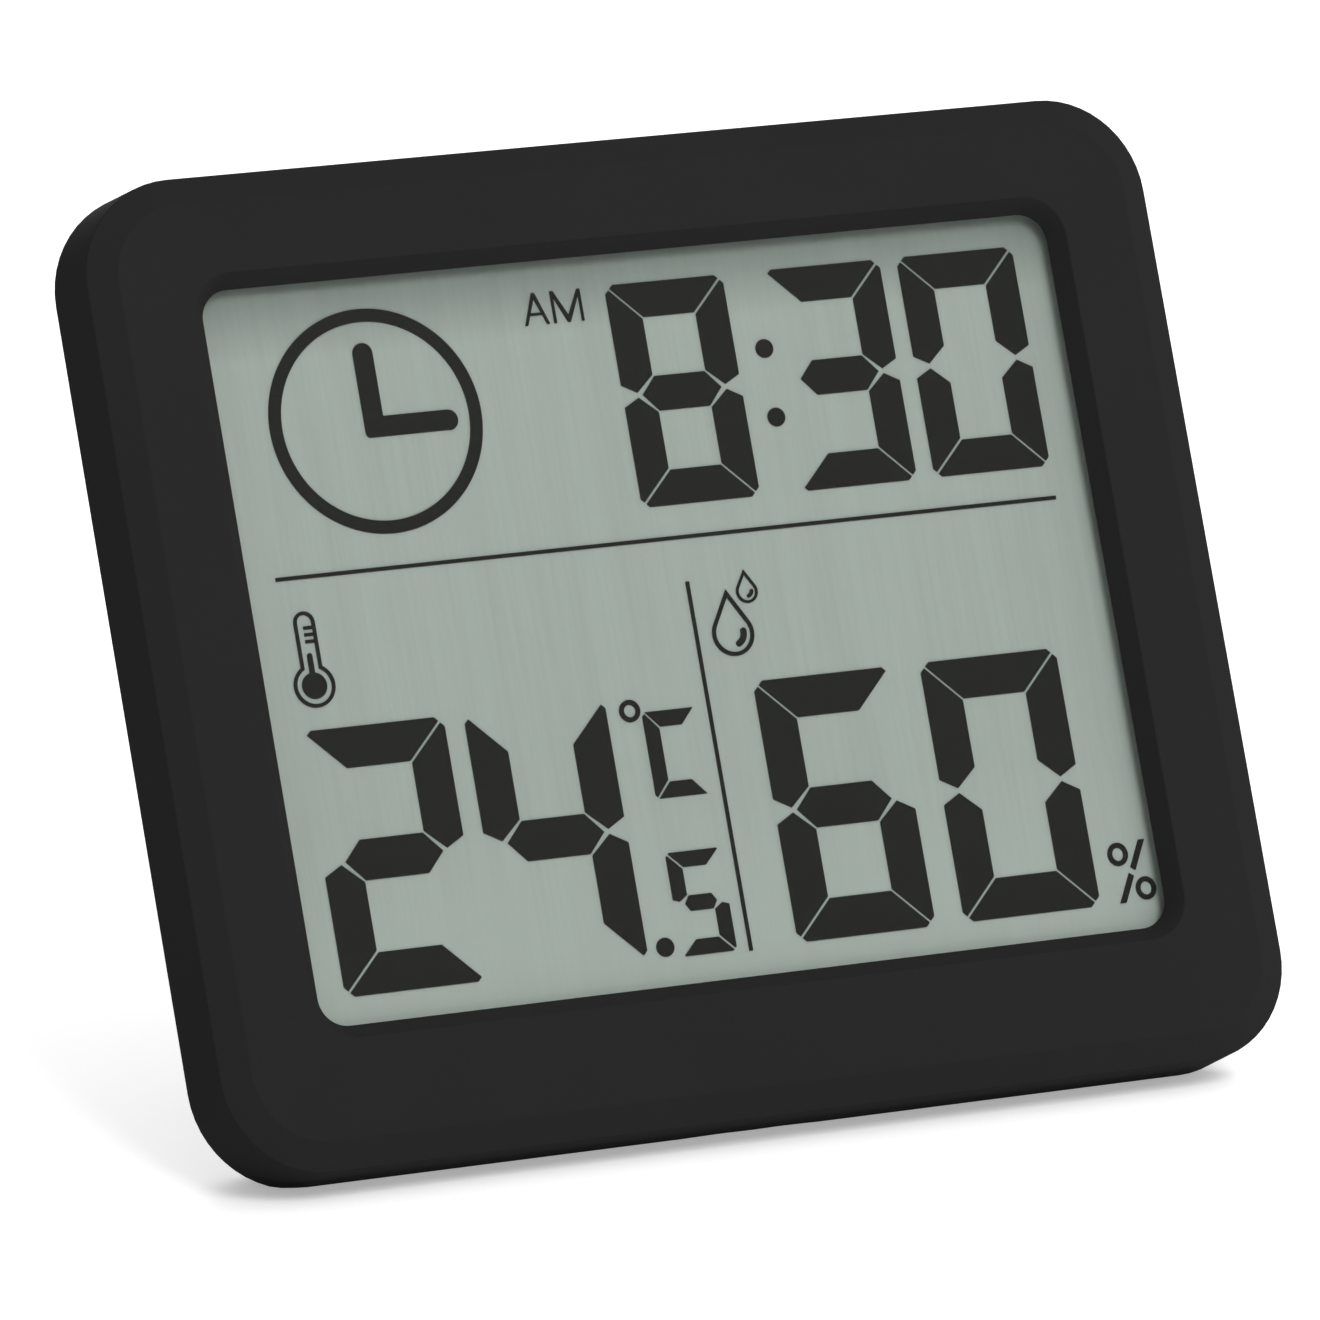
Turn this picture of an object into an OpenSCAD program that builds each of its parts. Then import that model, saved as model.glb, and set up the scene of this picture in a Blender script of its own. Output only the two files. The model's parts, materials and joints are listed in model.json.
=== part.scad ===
// Slim digital thermometer and hygrometer with a clock and a large segment display.
// It is drawn as it stands on a table: leaning back on its rear bottom edge and its opened stand.
// X runs to the right of someone reading it, Y runs away from them, and Z is up.
// The origin is on the table, under the middle of the whole object.
// Pieces are drawn flat first: x to the right, y up the front face, and a depth behind that face.

/* [Body] */
// Width of the casing
body_w = 80; // [70:0.5:100]
// Height of the casing
body_h = 68.5; // [62:0.5:90]
// Radius of the casing's corners seen from the front
corner_r = 7; // [6:0.5:9]
// Thickness of the front casing's side wall
wall = 1.6; // [1.3:0.1:2]
// Thickness of the front wall round the display
front_t = 1.8; // [1.6:0.1:2]
// Depth of the front casing's side wall
side_d = 6.5; // [6.3:0.1:7]
// How far the front edge's chamfer runs in over the face
front_run = 1.95; // [0.5:0.05:2.5]
// How deep the front edge's chamfer goes
front_dep = 0.9; // [0.3:0.05:1.2]
// How far the rear cover's sloping edge runs in
back_run = 2; // [1.8:0.1:2.6]
// Extra run of the last bevel at the back face
back_bevel = 0.6; // [0.3:0.1:0.8]
// Thickness of the rear cover's back wall
back_t = 1.5; // [1.4:0.1:1.6]

/* [Window] */
// Height of the border above the display
top_border = 7.925; // [6.9:0.025:12]
// Height of the border below the display
foot_border = 9.725; // [8.7:0.025:14]
// Corner radius of the window at the glass
view_r = 2; // [1:0.1:3]
// How far the window's bevel runs in
bevel_run = 1.05; // [0.5:0.05:1.5]
// How deep the glass lies behind the face
bevel_dep = 1.22; // [1:0.01:1.3]

/* [Display] */
// How far the glass reaches past the window on each side
glass_lap = 1.3; // [1:0.1:1.5]
// Height of the contact ledge below the rear glass
glass_ledge = 2.4; // [2:0.1:2.8]
// Thickness of each sheet of glass
glass_t = 0.6; // [0.4:0.05:0.7]
// Thickness of the front polariser
polar_t = 0.2; // [0.1:0.05:0.3]
// Thickness of the rear polariser with its reflector
reflect_t = 0.25; // [0.15:0.05:0.3]
// Thickness of the sealed layer that holds the segments
layer_t = 0.1; // [0.05:0.01:0.12]
// Width of the light line between two segments that meet
seg_gap = 0.18; // [0.1:0.01:0.3]

/* [Digits] */
// Width of a time digit
time_w = 8.95; // [7:0.05:10]
// Height of a time digit
time_h = 15.7; // [12:0.1:17]
// Stroke of a time digit
time_s = 2.45; // [1.5:0.05:2.8]
// Height of a large reading digit. Its width fills the room that the display leaves.
read_h = 18.32; // [14:0.02:20]
// Stroke of a large reading digit
read_s = 2.8; // [1.8:0.05:3.1]
// Width of the small tenths digit
tenth_w = 4.1; // [3:0.05:4.8]
// Height of the small tenths digit
tenth_h = 7.2; // [5:0.1:8]
// Stroke of the small tenths digit
tenth_s = 1.08; // [0.7:0.02:1.2]
// Radius of the colon's dots and of the decimal point
dot_r = 0.66; // [0.4:0.02:0.75]
// Width of the two ruled lines
rule_t = 0.26; // [0.15:0.01:0.4]

/* [Stand] */
// Thickness of the stand's plate. Its width fills the room beside the battery.
stand_t = 1.8; // [1.4:0.1:2]
// Angle between the opened stand and the back face
stand_open = 38; // [30:0.1:50]
// Distance of the stand's hinge below the top edge
hinge_drop = 22; // [21:0.5:26]
// Height of the recess's lower end above the bottom edge
recess_low = 3.4; // [3.2:0.1:6]
// Radius of the stand's hinge barrel
barrel_r = 1.2; // [1.1:0.05:1.25]
// Radius of the stand's hinge pins
pin_r = 0.8; // [0.6:0.05:0.85]
// Length of each hinge pin outside the stand's side
pin_l = 1.4; // [1:0.1:1.6]
// Radius of the finger scoop below the stand
scoop_r = 9; // [8:0.5:10]

/* [Battery] */
// Diameter of the coin cell
cell_d = 20; // [16:0.1:23]
// Thickness of the coin cell. The body's thickness follows it.
cell_t = 3.2; // [2.5:0.1:3.6]
// Height of the cell's middle above the bottom edge
cell_up = 24; // [20:0.5:26]
// Angle that the door turns through to open
door_turn = 40; // [36:1:44]
// Number of catches round the door
door_tabs = 3; // [2:1:3]
// Angle that one catch spans
tab_span = 24; // [16:1:26]

/* [Controls] */
// Radius of a button's cap
button_r = 2.5; // [2:0.1:2.7]
// Travel of a button
button_travel = 0.35; // [0.2:0.01:0.4]
// Distance of the buttons from the side of the body
button_in = 15.6; // [12:0.1:18]
// Height of the lowest button above the bottom edge
button_up = 14; // [12:0.5:16]
// Distance between two buttons
button_step = 10; // [9:0.5:11]
// Number of air slots over the sensor
vent_n = 5; // [3:1:6]
// Length of an air slot
vent_l = 10; // [6:0.5:14]
// Width of an air slot
vent_w = 1.2; // [0.8:0.1:1.4]

/* [Wall slot] */
// Radius of the keyhole's entry
key_r = 3.3; // [3:0.1:3.6]
// Width of the keyhole's slot
key_slot = 3.6; // [3:0.1:4]
// Travel from the entry up to the end of the slot
key_travel = 4.5; // [4:0.1:5]
// Distance of the keyhole's entry below the top edge
key_drop = 13; // [12.5:0.5:13.5]

/* [Screws] */
// Radius of a case screw's shank
screw_r = 0.83; // [0.7:0.01:0.9]
// Radius of a case screw's head
head_r = 1.7; // [1.4:0.05:1.75]
// Distance of the case screws from the top and bottom edges
screw_up = 11.25; // [10:0.25:11.5]

/* [Hidden] */
$fn = 64;
wide_fn = 96;
arch_fn = 360;
hw = body_w / 2;
hh = body_h / 2;
// Overlap that fuses two parts of a solid, and how far a cutter reaches past what it cuts
eps = 0.01;
past = 1;

// Fits: a moulded joint, a piece set in place, a sliding catch, a turning pin, and a swinging plate
lip_gap = 0.15;
seat_gap = 0.2;
slide_gap = 0.1;
pin_gap = 0.05;
swing_gap = 0.3;
stop_gap = 0.04;

// Rear cover: an inset lip inside the front casing's wall
lip_t = 1;
lip_h = 1.2;
lip_out = corner_r - wall - lip_gap;
lip_deep = 0.7;
bevel_d = 0.5;
cover_wall_in = 1.1;
rib_t = 0.8;
rib_h = 1;
rib_l = 16;
rib_gap = 3;
rib_step = 9;

// Screw bosses of both casings meet face to face, between the lip and the glass
boss_r = 1.7;
boss_gap = 0.35;
glass_gap = 0.25;
post_r = 1.9;
boss_end = side_d - lip_gap;
head_h = 1;
head_well = 1.3;
pilot_gap = 0.02;
shank_gap = 0.3;
boss_floor = 2.7;
tip_gap = 0.3;
web_t = 1;
cross_w = 0.45;
screw_in = wall + lip_gap + lip_t + boss_gap + boss_r;

// Board screws in two ears, one just clear of the battery bay
ear_in = 4.4;
ear_x = hw - ear_in;
ear_rise = 10.25;
ear_up = cell_up + ear_rise;
ear_r = 2.2;
ear_post_r = 1.5;
board_screw_r = 0.6;
board_head_r = 1.3;
board_head_h = 0.7;
board_corner = 1.5;

// The window is what the borders leave. Beside it lie the glass's lap and the bosses.
side_border = screw_in + boss_r + glass_gap + glass_lap;
view_w = body_w - 2 * side_border;
view_h = body_h - top_border - foot_border;
view_mid = foot_border + view_h / 2;
glass_w = view_w + 2 * glass_lap;
glass_h = view_h + 2 * glass_lap;
glass_low = view_mid - glass_h / 2;
glass_high = view_mid + glass_h / 2;
ledge_low = glass_low - glass_ledge;
film_r = 0.5;
film_in = 0.5;
seal_w = 0.8;

// Depths behind the front face, one piece resting on the next
polar_back = bevel_dep + polar_t;
layer_front = polar_back + glass_t;
layer_back = layer_front + layer_t;
rear_glass_back = layer_back + glass_t;
reflect_back = rear_glass_back + reflect_t;
holder_t = 1.13;
board_front = reflect_back + holder_t;
board_t = 0.8;
board_back = board_front + board_t;

// Display holder and the strip that joins the glass's ledge to the board
holder_edge = 3;
holder_in = 0.4;
strip_in = 5.25;
strip_w = 1.6;
strip_up = glass_low - glass_ledge / 2;

// Battery bay: floor, sprung contact, cell and door, which together set the body's thickness
bay_gap = 0.25;
bay_floor_t = 0.5;
bay_low = board_back + slide_gap;
bay_floor = bay_low + bay_floor_t;
leaf_t = 0.15;
cell_low = bay_floor + 2 * leaf_t;
cell_high = cell_low + cell_t;
hub_play = 0.05;
hub_t = 0.5;
door_t = 0.9;
door_sink = 0.05;
hub_low = cell_high + hub_play;
door_under = hub_low + hub_t;
door_face = door_under + door_t;
body_t = door_face + door_sink;
inner_back = body_t - back_t;

// The door's catches turn in a groove under a ledge, and end against two stops
bay_r = cell_d / 2 + bay_gap;
bay_wall = 1;
skirt_t = 0.65;
tab_out = 1.1;
hub_r = bay_r + skirt_t;
tab_r = hub_r + tab_out;
groove_r = tab_r + seat_gap;
ledge_r = hub_r + lip_gap;
well_r = tab_r + lip_gap;
ring_wall = 0.9;
ring_floor = 0.6;
ledge_back = door_under - slide_gap;
ledge_t = 0.45;
ledge_front = ledge_back - ledge_t;
tab_back = ledge_front - slide_gap;
tab_t = 0.55;
tab_front = tab_back - tab_t;
groove_front = tab_front - slide_gap;
slot_spare = 2;
stop_span = 9;
stop_spare = 1;
coin_l = 13;
coin_w = 1.8;
coin_r = 14;
coin_sink = 0.7;
mark_r = 0.5;
mark_in = 1.8;
mark_sink = 0.3;
side_clear = 2.5;
cell_out = hw - side_clear - ring_wall - groove_r;

// Coin cell, in three pieces: can, ring of gasket and cap
cap_in = 1.2;
cap_r = cell_d / 2 - cap_in;
cap_t = 0.7;
cap_edge = 0.3;
gasket_w = 0.35;
rim_low = 0.15;
roll = 0.35;

// Contacts: a plate in a pocket beside the cell, and a sprung leaf under it
plate_w = 5;
plate_gap = 0.3;
plate_at = bay_r + plate_gap;
pocket_w = plate_w + 1;
pocket_t = 1.4;
pocket_wall = 1;
touch_w = 1.6;
touch_low = 1;
touch_gap = 0.05;
plate_drop = 0.3;
tail_w = 1.2;
tail_slot_w = 2;
tail_slot_t = 0.7;
tail_at = 6;
leaf_w = 5;
leaf_l = 9.5;
leaf_off = 1.75;
arch_w = 1.2;
arch_l = 5;
arch_at = 1.5;

// Stand: the hinge axis lies just inside the back face, and the foot's round end touches the table
recess_skin = 0.8;
recess_side = 1.3;
stand_w = 2 * (cell_out - well_r - lip_gap - recess_side - swing_gap);
hinge_up = body_h - hinge_drop;
hinge_d = body_t - barrel_r - slide_gap;
foot_r = stand_t / 2;
stand_l = hinge_up - recess_low - swing_gap - foot_r;
foot_d = hinge_d + stand_l * sin(stand_open);
foot_up = hinge_up - stand_l * cos(stand_open);
foot_reach = norm([foot_d - side_d, foot_up]);
// The table touches the bottom edge's rear corner and the foot, which sets how far the body leans
lean = atan2(foot_up, foot_d - side_d) - asin(foot_r / foot_reach);
recess_w = stand_w + 2 * swing_gap;
recess_top = hinge_up + barrel_r + stop_gap;
recess_floor = hinge_d - foot_r - swing_gap;
barrel_floor = hinge_d - barrel_r - swing_gap;
barrel_room = 1;
stop_l = 0.7;
ear_w = pin_l + 1;
ear_h = 6;
scoop_off = 0.2;
notch_w = 10.5;
notch_rise = 0.45;
stand_edge = 2.6;
stand_sink = 0.6;
stand_rib = 1;
grip_n = 3;
grip_r = 0.35;
grip_step = 1.4;
grip_off = 0.2;

// Buttons: a cap with a flange inside the cover, over a switch whose plunger moves with it
button_out = hw - button_in;
cap_sink = 0.15;
cap_face = body_t - cap_sink;
cap_bevel = 0.3;
cap_dish = 0.2;
flange_out = 0.8;
flange_r = button_r + flange_out;
flange_t = 0.6;
flange_back = inner_back - slide_gap;
flange_front = flange_back - flange_t;
stem_r = 1.2;
switch_w = 4.5;
switch_h = 1.8;
switch_corner = 0.4;
switch_face = board_back + switch_h;
plunger_r = 0.9;
plunger_out = 0.5;
plunger_in = 1;
plunger_end = switch_face + plunger_out;
plunger_low = switch_face - plunger_in;
well_floor = plunger_low - button_travel - slide_gap;
foot_l = 1;
foot_w = 0.7;
foot_t = 0.2;
foot_at = 1.5;
foot_out = 0.4;
collar_r = flange_r + seat_gap;
collar_t = 0.8;
collar_h = 1.2;

// Air slots midway between the top button's collar and the cover's top wall, and the sensor behind
vent_up = (button_up + 2 * button_step + collar_r + collar_t + body_h - wall - lip_gap - lip_t) / 2;
vent_gap = 1.1;
vent_step = vent_w + vent_gap;
sensor_w = 3;
sensor_t = 1.1;
sensor_hole = 0.6;
sensor_sink = 0.5;

// Parts on the board, set from its left edge and midway between the bay and the board's top
bay_high = cell_up + plate_at + pocket_t / 2 + pocket_wall;
parts_up = (bay_high + glass_high) / 2;
blob_in = 11.25;
blob_x = blob_in - glass_w / 2;
blob_r = 5.5;
blob_h = 1.4;
crystal_in = 2.25;
crystal_l = 6;
crystal_r = 1;
crystal_rim = 0.1;
rim_l = 0.5;
lead_r = 0.2;
lead_l = 2.2;
lead_at = 0.4;
chip_w = 1;
chip_l = 1.8;
chip_t = 0.55;
chip_step = 2.4;
chip_row = 3.8;
chip_at = 7.5;
chip_n = 5;

// Keyhole pocket behind the back wall
key_up = body_h - key_drop;
key_pocket_r = key_r + 0.5;
key_pocket_t = 2.2;
key_skin = 0.7;
key_wall = 1;

// Display layout from the window's edges. The artwork is measured from the middle of the front face.
view_top = view_mid + view_h / 2 - hh;
view_foot = view_mid - view_h / 2 - hh;
edge_room = 2.38;
warm_gap = 1.51;
point_room = 2.56;
point_out = 1.17;
point_rise = 0.13;
split_gap = 1.04;
split_x = 0.65;
damp_room = 3.59;
damp_gap = 2.23;
read_w = (view_w / 2 + split_x - edge_room - warm_gap - point_room - tenth_w - split_gap) / 2;
read_rise = 1.995;
read_foot = view_foot + read_rise;
read_y = read_foot + read_h / 2;
warm_x = [edge_room - view_w / 2, edge_room - view_w / 2 + read_w + warm_gap];
damp_x = [split_x + damp_room, split_x + damp_room + read_w + damp_gap];
tenth_x = split_x - split_gap - tenth_w;
time_room = 2.34;
time_gap = 1.37;
colon_before = 2.25;
colon_after = 0.86;
colon_up = 2.38;
colon_down = 2.49;
time_drop = 1.995;
time_right = view_w / 2 - time_room;
minute_x = time_right - 2 * time_w - time_gap;
colon_x = minute_x - colon_after;
time_x = [colon_x - colon_before - time_w, minute_x, time_right - time_w];
time_y = view_top - time_drop - time_h / 2;
time_foot = time_y - time_h / 2;
// The level rule parts the space between the time and the readings in the ratio of these two
rule_over = 2.3;
rule_under = 10.55;
rule_y = time_foot - (time_foot - read_foot - read_h) * rule_over / (rule_over + rule_under);
rule_in = 2.43;
split_drop = 3.12;
split_low = 0.15;

// The seven segments are numbered from 0: top, upper right, lower right, bottom, lower left,
// upper left, middle. Each digit lists those that it lights.
LIT = [
    [0, 1, 2, 3, 4, 5], [1, 2], [0, 1, 3, 4, 6], [0, 1, 2, 3, 6], [1, 2, 5, 6],
    [0, 2, 3, 5, 6], [0, 2, 3, 4, 5, 6], [0, 1, 2], [0, 1, 2, 3, 4, 5, 6], [0, 1, 2, 3, 5, 6]
];

// Place on the table: middle of the box that holds the leaning body and its stand
low_y = min(front_run * sin(lean), front_dep * cos(lean));
foot_y = foot_d * cos(lean) + foot_up * sin(lean) + foot_r;
top_y = max(
    body_t * cos(lean) + (body_h - back_run - back_bevel) * sin(lean),
    (body_t - bevel_d) * cos(lean) + (body_h - back_run) * sin(lean),
    side_d * cos(lean) + body_h * sin(lean)
);
mid_y = (low_y + max(foot_y, top_y)) / 2;
lift = side_d * sin(lean);

// Sets a flat-drawn piece in its leaning place on the table
module leaning() {
    translate([0, -mid_y, lift]) rotate([90 - lean, 0, 0]) children();
}

// Extrudes a flat outline from one depth behind the face to another
module between(near, far) {
    translate([0, 0, -far]) linear_extrude(far - near) children();
}

// Rectangle with round corners about its middle
module rounded(w, h, r) {
    square([w - 2 * r, h], center = true);
    square([w, h - 2 * r], center = true);
    for (sx = [-1, 1], sy = [-1, 1])
        translate([sx * (w / 2 - r), sy * (h / 2 - r)]) circle(r);
}

// Solid whose section runs round a rectangle with its corner centres at a and b from the middle.
// Each point of the section is its distance out from the corner centre and its depth.
module swept(section, a, b) {
    flat = [for (p = section) [p[0], -p[1]]];
    depths = [for (p = section) p[1]];
    for (sx = [-1, 1], sy = [-1, 1])
        translate([sx * a, sy * b, 0]) rotate_extrude() polygon(flat);
    for (s = [0, 1]) {
        mirror([s, 0, 0]) translate([a, b, 0]) rotate([90, 0, 0]) linear_extrude(2 * b) polygon(flat);
        mirror([0, s, 0]) translate([-a, b, 0]) rotate([90, 0, 90]) linear_extrude(2 * a) polygon(flat);
    }
    between(min(depths), max(depths)) square([2 * a, 2 * b], center = true);
}

// A swept solid that follows the casing's own corners
module cased(section) {
    translate([0, hh, 0]) swept(section, hw - corner_r, hh - corner_r);
}

// The four case screws, two up each side
module at_case_screws() {
    for (sx = [-1, 1], up = [screw_up, body_h - screw_up])
        translate([sx * (hw - screw_in), up, 0]) children();
}

// The two board screws, one at each side
module at_board_screws() {
    for (sx = [-1, 1]) translate([sx * ear_x, ear_up, 0]) children();
}

// A disc or drum between two depths
module drum(r, near, far) {
    between(near, far) circle(r);
}

// Front casing: the chamfered face with its bevelled window, and the side wall behind it
module front_casing() {
    color("#2c2c2c") leaning() difference() {
        union() {
            difference() {
                cased([[0, 0], [corner_r - front_run, 0], [corner_r, front_dep],
                       [corner_r, side_d], [0, side_d]]);
                cased([[0, front_t], [corner_r - wall, front_t],
                       [corner_r - wall, side_d + past], [0, side_d + past]]);
            }
            casing_bosses();
        }
        window_cut();
        at_case_screws() drum(screw_r + pilot_gap, boss_floor, side_d);
        at_board_screws() drum(board_screw_r + pilot_gap, boss_floor, side_d);
        pull_notch();
    }
}

// Bosses for the case and board screws, each tied to the side wall by a web
module casing_bosses() {
    at_case_screws() drum(boss_r, front_t - eps, boss_end);
    at_board_screws() drum(ear_post_r, front_t - eps, board_front);
    for (sx = [-1, 1], up = [screw_up, body_h - screw_up])
        translate([sx * (hw - (screw_in + wall) / 2), up])
            between(front_t - eps, boss_end - lip_h - seat_gap)
                square([screw_in - wall + 2 * eps, web_t], center = true);
    for (sx = [-1, 1])
        translate([sx * (hw + ear_x - wall) / 2, ear_up])
            between(front_t - eps, board_front - seat_gap)
                square([ear_in - wall + 2 * eps, web_t], center = true);
}

// The window: a bevel down to the glass, then the pocket that the glass lies in
module window_cut() {
    wide = view_r + bevel_run * (bevel_dep + past) / bevel_dep;
    translate([0, view_mid, 0])
        swept([[0, -past], [wide, -past], [view_r, bevel_dep], [view_r, front_t + past], [0, front_t + past]],
              view_w / 2 - view_r, view_h / 2 - view_r);
    between(bevel_dep, front_t + past)
        translate([-glass_w / 2 - seat_gap, ledge_low - seat_gap])
            square([glass_w + 2 * seat_gap, glass_high - ledge_low + 2 * seat_gap]);
}

// Radius of the circle that rises over a chord
function arc_r(chord, rise) = (chord * chord / 4 + rise * rise) / (2 * rise);

// Shallow notch in the side wall's rear edge, under the end of the stand
module pull_notch() {
    r = arc_r(notch_w, notch_rise);
    translate([0, -past, -(side_d - notch_rise + r)]) rotate([-90, 0, 0])
        cylinder(r = r, h = wall + past, $fn = wide_fn);
}

// Rear cover: a sloping-edged tray with an inset lip, the stand's recess and the battery bay
module rear_cover() {
    color("#2b2b2b") leaning() difference() {
        union() {
            difference() {
                union() {
                    cased([[0, side_d], [corner_r, side_d], [corner_r - back_run, body_t - bevel_d],
                           [corner_r - back_run - back_bevel, body_t], [0, body_t]]);
                    cased([[0, side_d - lip_h], [lip_out, side_d - lip_h],
                           [lip_out, side_d + eps], [0, side_d + eps]]);
                }
                cased([[0, side_d - lip_h - past], [lip_out - lip_t, side_d - lip_h - past],
                       [lip_out - lip_t, side_d + lip_deep], [lip_out - lip_t - cover_wall_in, inner_back],
                       [0, inner_back]]);
            }
            bay_walls();
            recess_walls();
            key_walls();
            at_case_screws() drum(post_r, boss_end, inner_back + eps);
            at_buttons() drum(collar_r + collar_t, inner_back - collar_h, inner_back + eps);
            cover_ribs();
        }
        bay_cut();
        recess_cut();
        key_cut();
        at_case_screws() {
            drum(screw_r + shank_gap, boss_end - past, body_t + past);
            drum(head_r + seat_gap, body_t - head_well, body_t + past);
        }
        at_buttons() {
            drum(collar_r, inner_back - collar_h - past, inner_back);
            drum(button_r + slide_gap, inner_back - past, body_t + past);
        }
        vents();
    }
}

// Two thin ribs that stiffen the back wall above the battery bay
module cover_ribs() {
    for (k = [0, 1])
        between(inner_back - rib_h, inner_back + eps)
            translate([-cell_out, cell_up + groove_r + rib_gap + k * rib_step])
                square([rib_l, rib_t], center = true);
}

// Battery bay: a floored drum, and a wider ring where the door's catches turn
module bay_walls() {
    at_cell() {
        drum(bay_r + bay_wall, bay_low, inner_back + eps);
        drum(groove_r + ring_wall, groove_front - ring_floor, inner_back + eps);
        translate([0, plate_at]) between(bay_low, inner_back)
            square([pocket_w + 2 * pocket_wall, pocket_t + 2 * pocket_wall], center = true);
    }
}

// The bay's inside, the catches' groove under its ledge, the entry slots and the door's seat
module bay_cut() {
    at_cell() {
        drum(bay_r, bay_floor, groove_front + eps);
        difference() {
            drum(groove_r, groove_front, ledge_front);
            for (a = [tab_angle(0) + tab_span / 2 + stop_spare,
                      tab_angle(0) - door_turn - tab_span / 2 - stop_spare - stop_span])
                between(groove_front - past, ledge_front + past) intersection() {
                    sector(groove_r + past, a, a + stop_span);
                    difference() {
                        circle(groove_r + past);
                        circle(hub_r + slide_gap);
                    }
                }
        }
        drum(ledge_r, ledge_front - eps, body_t + past);
        drum(well_r, ledge_back, body_t + past);
        for (k = [0 : door_tabs - 1])
            between(ledge_front - eps, ledge_back + eps) intersection() {
                circle(groove_r);
                sector(groove_r + past, tab_angle(k) - door_turn - tab_span / 2 - slot_spare,
                       tab_angle(k) - door_turn + tab_span / 2 + slot_spare);
            }
        translate([0, plate_at]) between(bay_floor, groove_front) square([pocket_w, pocket_t], center = true);
        for (y = [plate_at, -tail_at])
            translate([0, y]) between(bay_low - past, bay_floor + past)
                square([tail_slot_w, tail_slot_t], center = true);
    }
}

// Middle of catch k, the first one pointing up
function tab_angle(k) = 90 + k * 360 / door_tabs;

// Flat wedge from one angle to another
module sector(r, from, to) {
    far = r / cos((to - from) / 4);
    mid = (from + to) / 2;
    polygon([[0, 0], for (a = [from, mid, to]) [far * cos(a), far * sin(a)]]);
}

// The cell's axis
module at_cell() {
    translate([-cell_out, cell_up, 0]) children();
}

// The buttons' axes, one above another
module at_buttons() {
    for (k = [0 : 2]) at_button(k) children();
}

// The axis of one button, counted from the bottom
module at_button(k) {
    translate([button_out, button_up + k * button_step, 0]) children();
}

// Material round the stand's recess, with the ears that hold the hinge pins
module recess_walls() {
    side = recess_w / 2 + recess_side;
    between(barrel_floor - recess_skin, inner_back + eps)
        translate([-side, recess_low - recess_side])
            square([2 * side, recess_top - recess_low + 2 * recess_side]);
    for (s = [-1, 1])
        translate([s * (recess_w + ear_w) / 2, hinge_up])
            between(barrel_floor - recess_skin, inner_back + eps)
                square([ear_w + 2 * eps, ear_h], center = true);
}

// The stand's recess, its deeper end under the barrel, the pin bores and the finger scoop
module recess_cut() {
    translate([-recess_w / 2, 0]) {
        between(recess_floor, body_t + past)
            translate([0, recess_low]) square([recess_w, recess_top - recess_low]);
        between(barrel_floor, body_t + past)
            translate([0, hinge_up - barrel_r - barrel_room])
                square([recess_w, recess_top - hinge_up + barrel_r + barrel_room]);
    }
    bore_l = recess_w / 2 + pin_l - swing_gap + slide_gap;
    translate([-bore_l, hinge_up, -hinge_d]) rotate([0, 90, 0]) cylinder(r = pin_r + pin_gap, h = 2 * bore_l);
    translate([0, -past, -(side_d + scoop_off + scoop_r)]) sphere(scoop_r);
}

// Pocket walls behind the keyhole
module key_walls() {
    r = key_pocket_r + key_wall;
    between(inner_back - key_pocket_t - key_skin, inner_back + eps) key_outline(r);
}

// Outline of the keyhole's pocket: a slot with round ends
module key_outline(r) {
    translate([0, key_up]) circle(r);
    translate([0, key_up + key_travel]) circle(r);
    translate([-r, key_up]) square([2 * r, key_travel]);
}

// The keyhole: round entry, narrow slot and the pocket that the screw's head slides in
module key_cut() {
    between(inner_back - key_pocket_t, inner_back) key_outline(key_pocket_r);
    between(inner_back - past, body_t + past) {
        translate([0, key_up]) circle(key_r);
        translate([0, key_up + key_travel]) circle(key_slot / 2);
        translate([-key_slot / 2, key_up]) square([key_slot, key_travel]);
    }
}

// Air slots over the sensor
module vents() {
    for (k = [0 : vent_n - 1])
        translate([button_out, vent_up + (k - (vent_n - 1) / 2) * vent_step])
            between(inner_back - past, body_t + past) {
                square([vent_l - vent_w, vent_w], center = true);
                for (s = [-1, 1]) translate([s * (vent_l - vent_w) / 2, 0]) circle(vent_w / 2);
            }
}

// Front polariser film, held against the back of the window's lip
module front_polariser() {
    color("#9ca79d", 0.25) leaning()
        between(bevel_dep, polar_back) translate([0, view_mid])
            rounded(view_w + glass_lap, view_h + glass_lap, film_r);
}

// Front sheet of glass, longer at its foot where the contacts are
module front_glass() {
    color("#c9d2cc", 0.3) leaning()
        between(polar_back, layer_front) translate([-glass_w / 2, ledge_low])
            square([glass_w, glass_high - ledge_low]);
}

// Line of seal that joins the two sheets of glass
module display_seal() {
    color("#8d958e") leaning() between(layer_front, layer_back) translate([0, view_mid]) difference() {
        square([glass_w, glass_h], center = true);
        square([glass_w - 2 * seal_w, glass_h - 2 * seal_w], center = true);
    }
}

// Rear sheet of glass
module rear_glass() {
    color("#c9d2cc", 0.3) leaning()
        between(layer_back, rear_glass_back) translate([0, view_mid]) square([glass_w, glass_h], center = true);
}

// Rear polariser with the grey-green reflector that gives the display its ground
module rear_polariser() {
    color("#9ca79d") leaning()
        between(rear_glass_back, reflect_back) translate([0, view_mid])
            square([glass_w - 2 * film_in, glass_h - 2 * film_in], center = true);
}

// Lays segments in the sealed layer, from the middle of the front face
module lit() {
    color("#2a2a28") leaning() between(layer_front, layer_back) translate([0, hh]) children();
}

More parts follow.
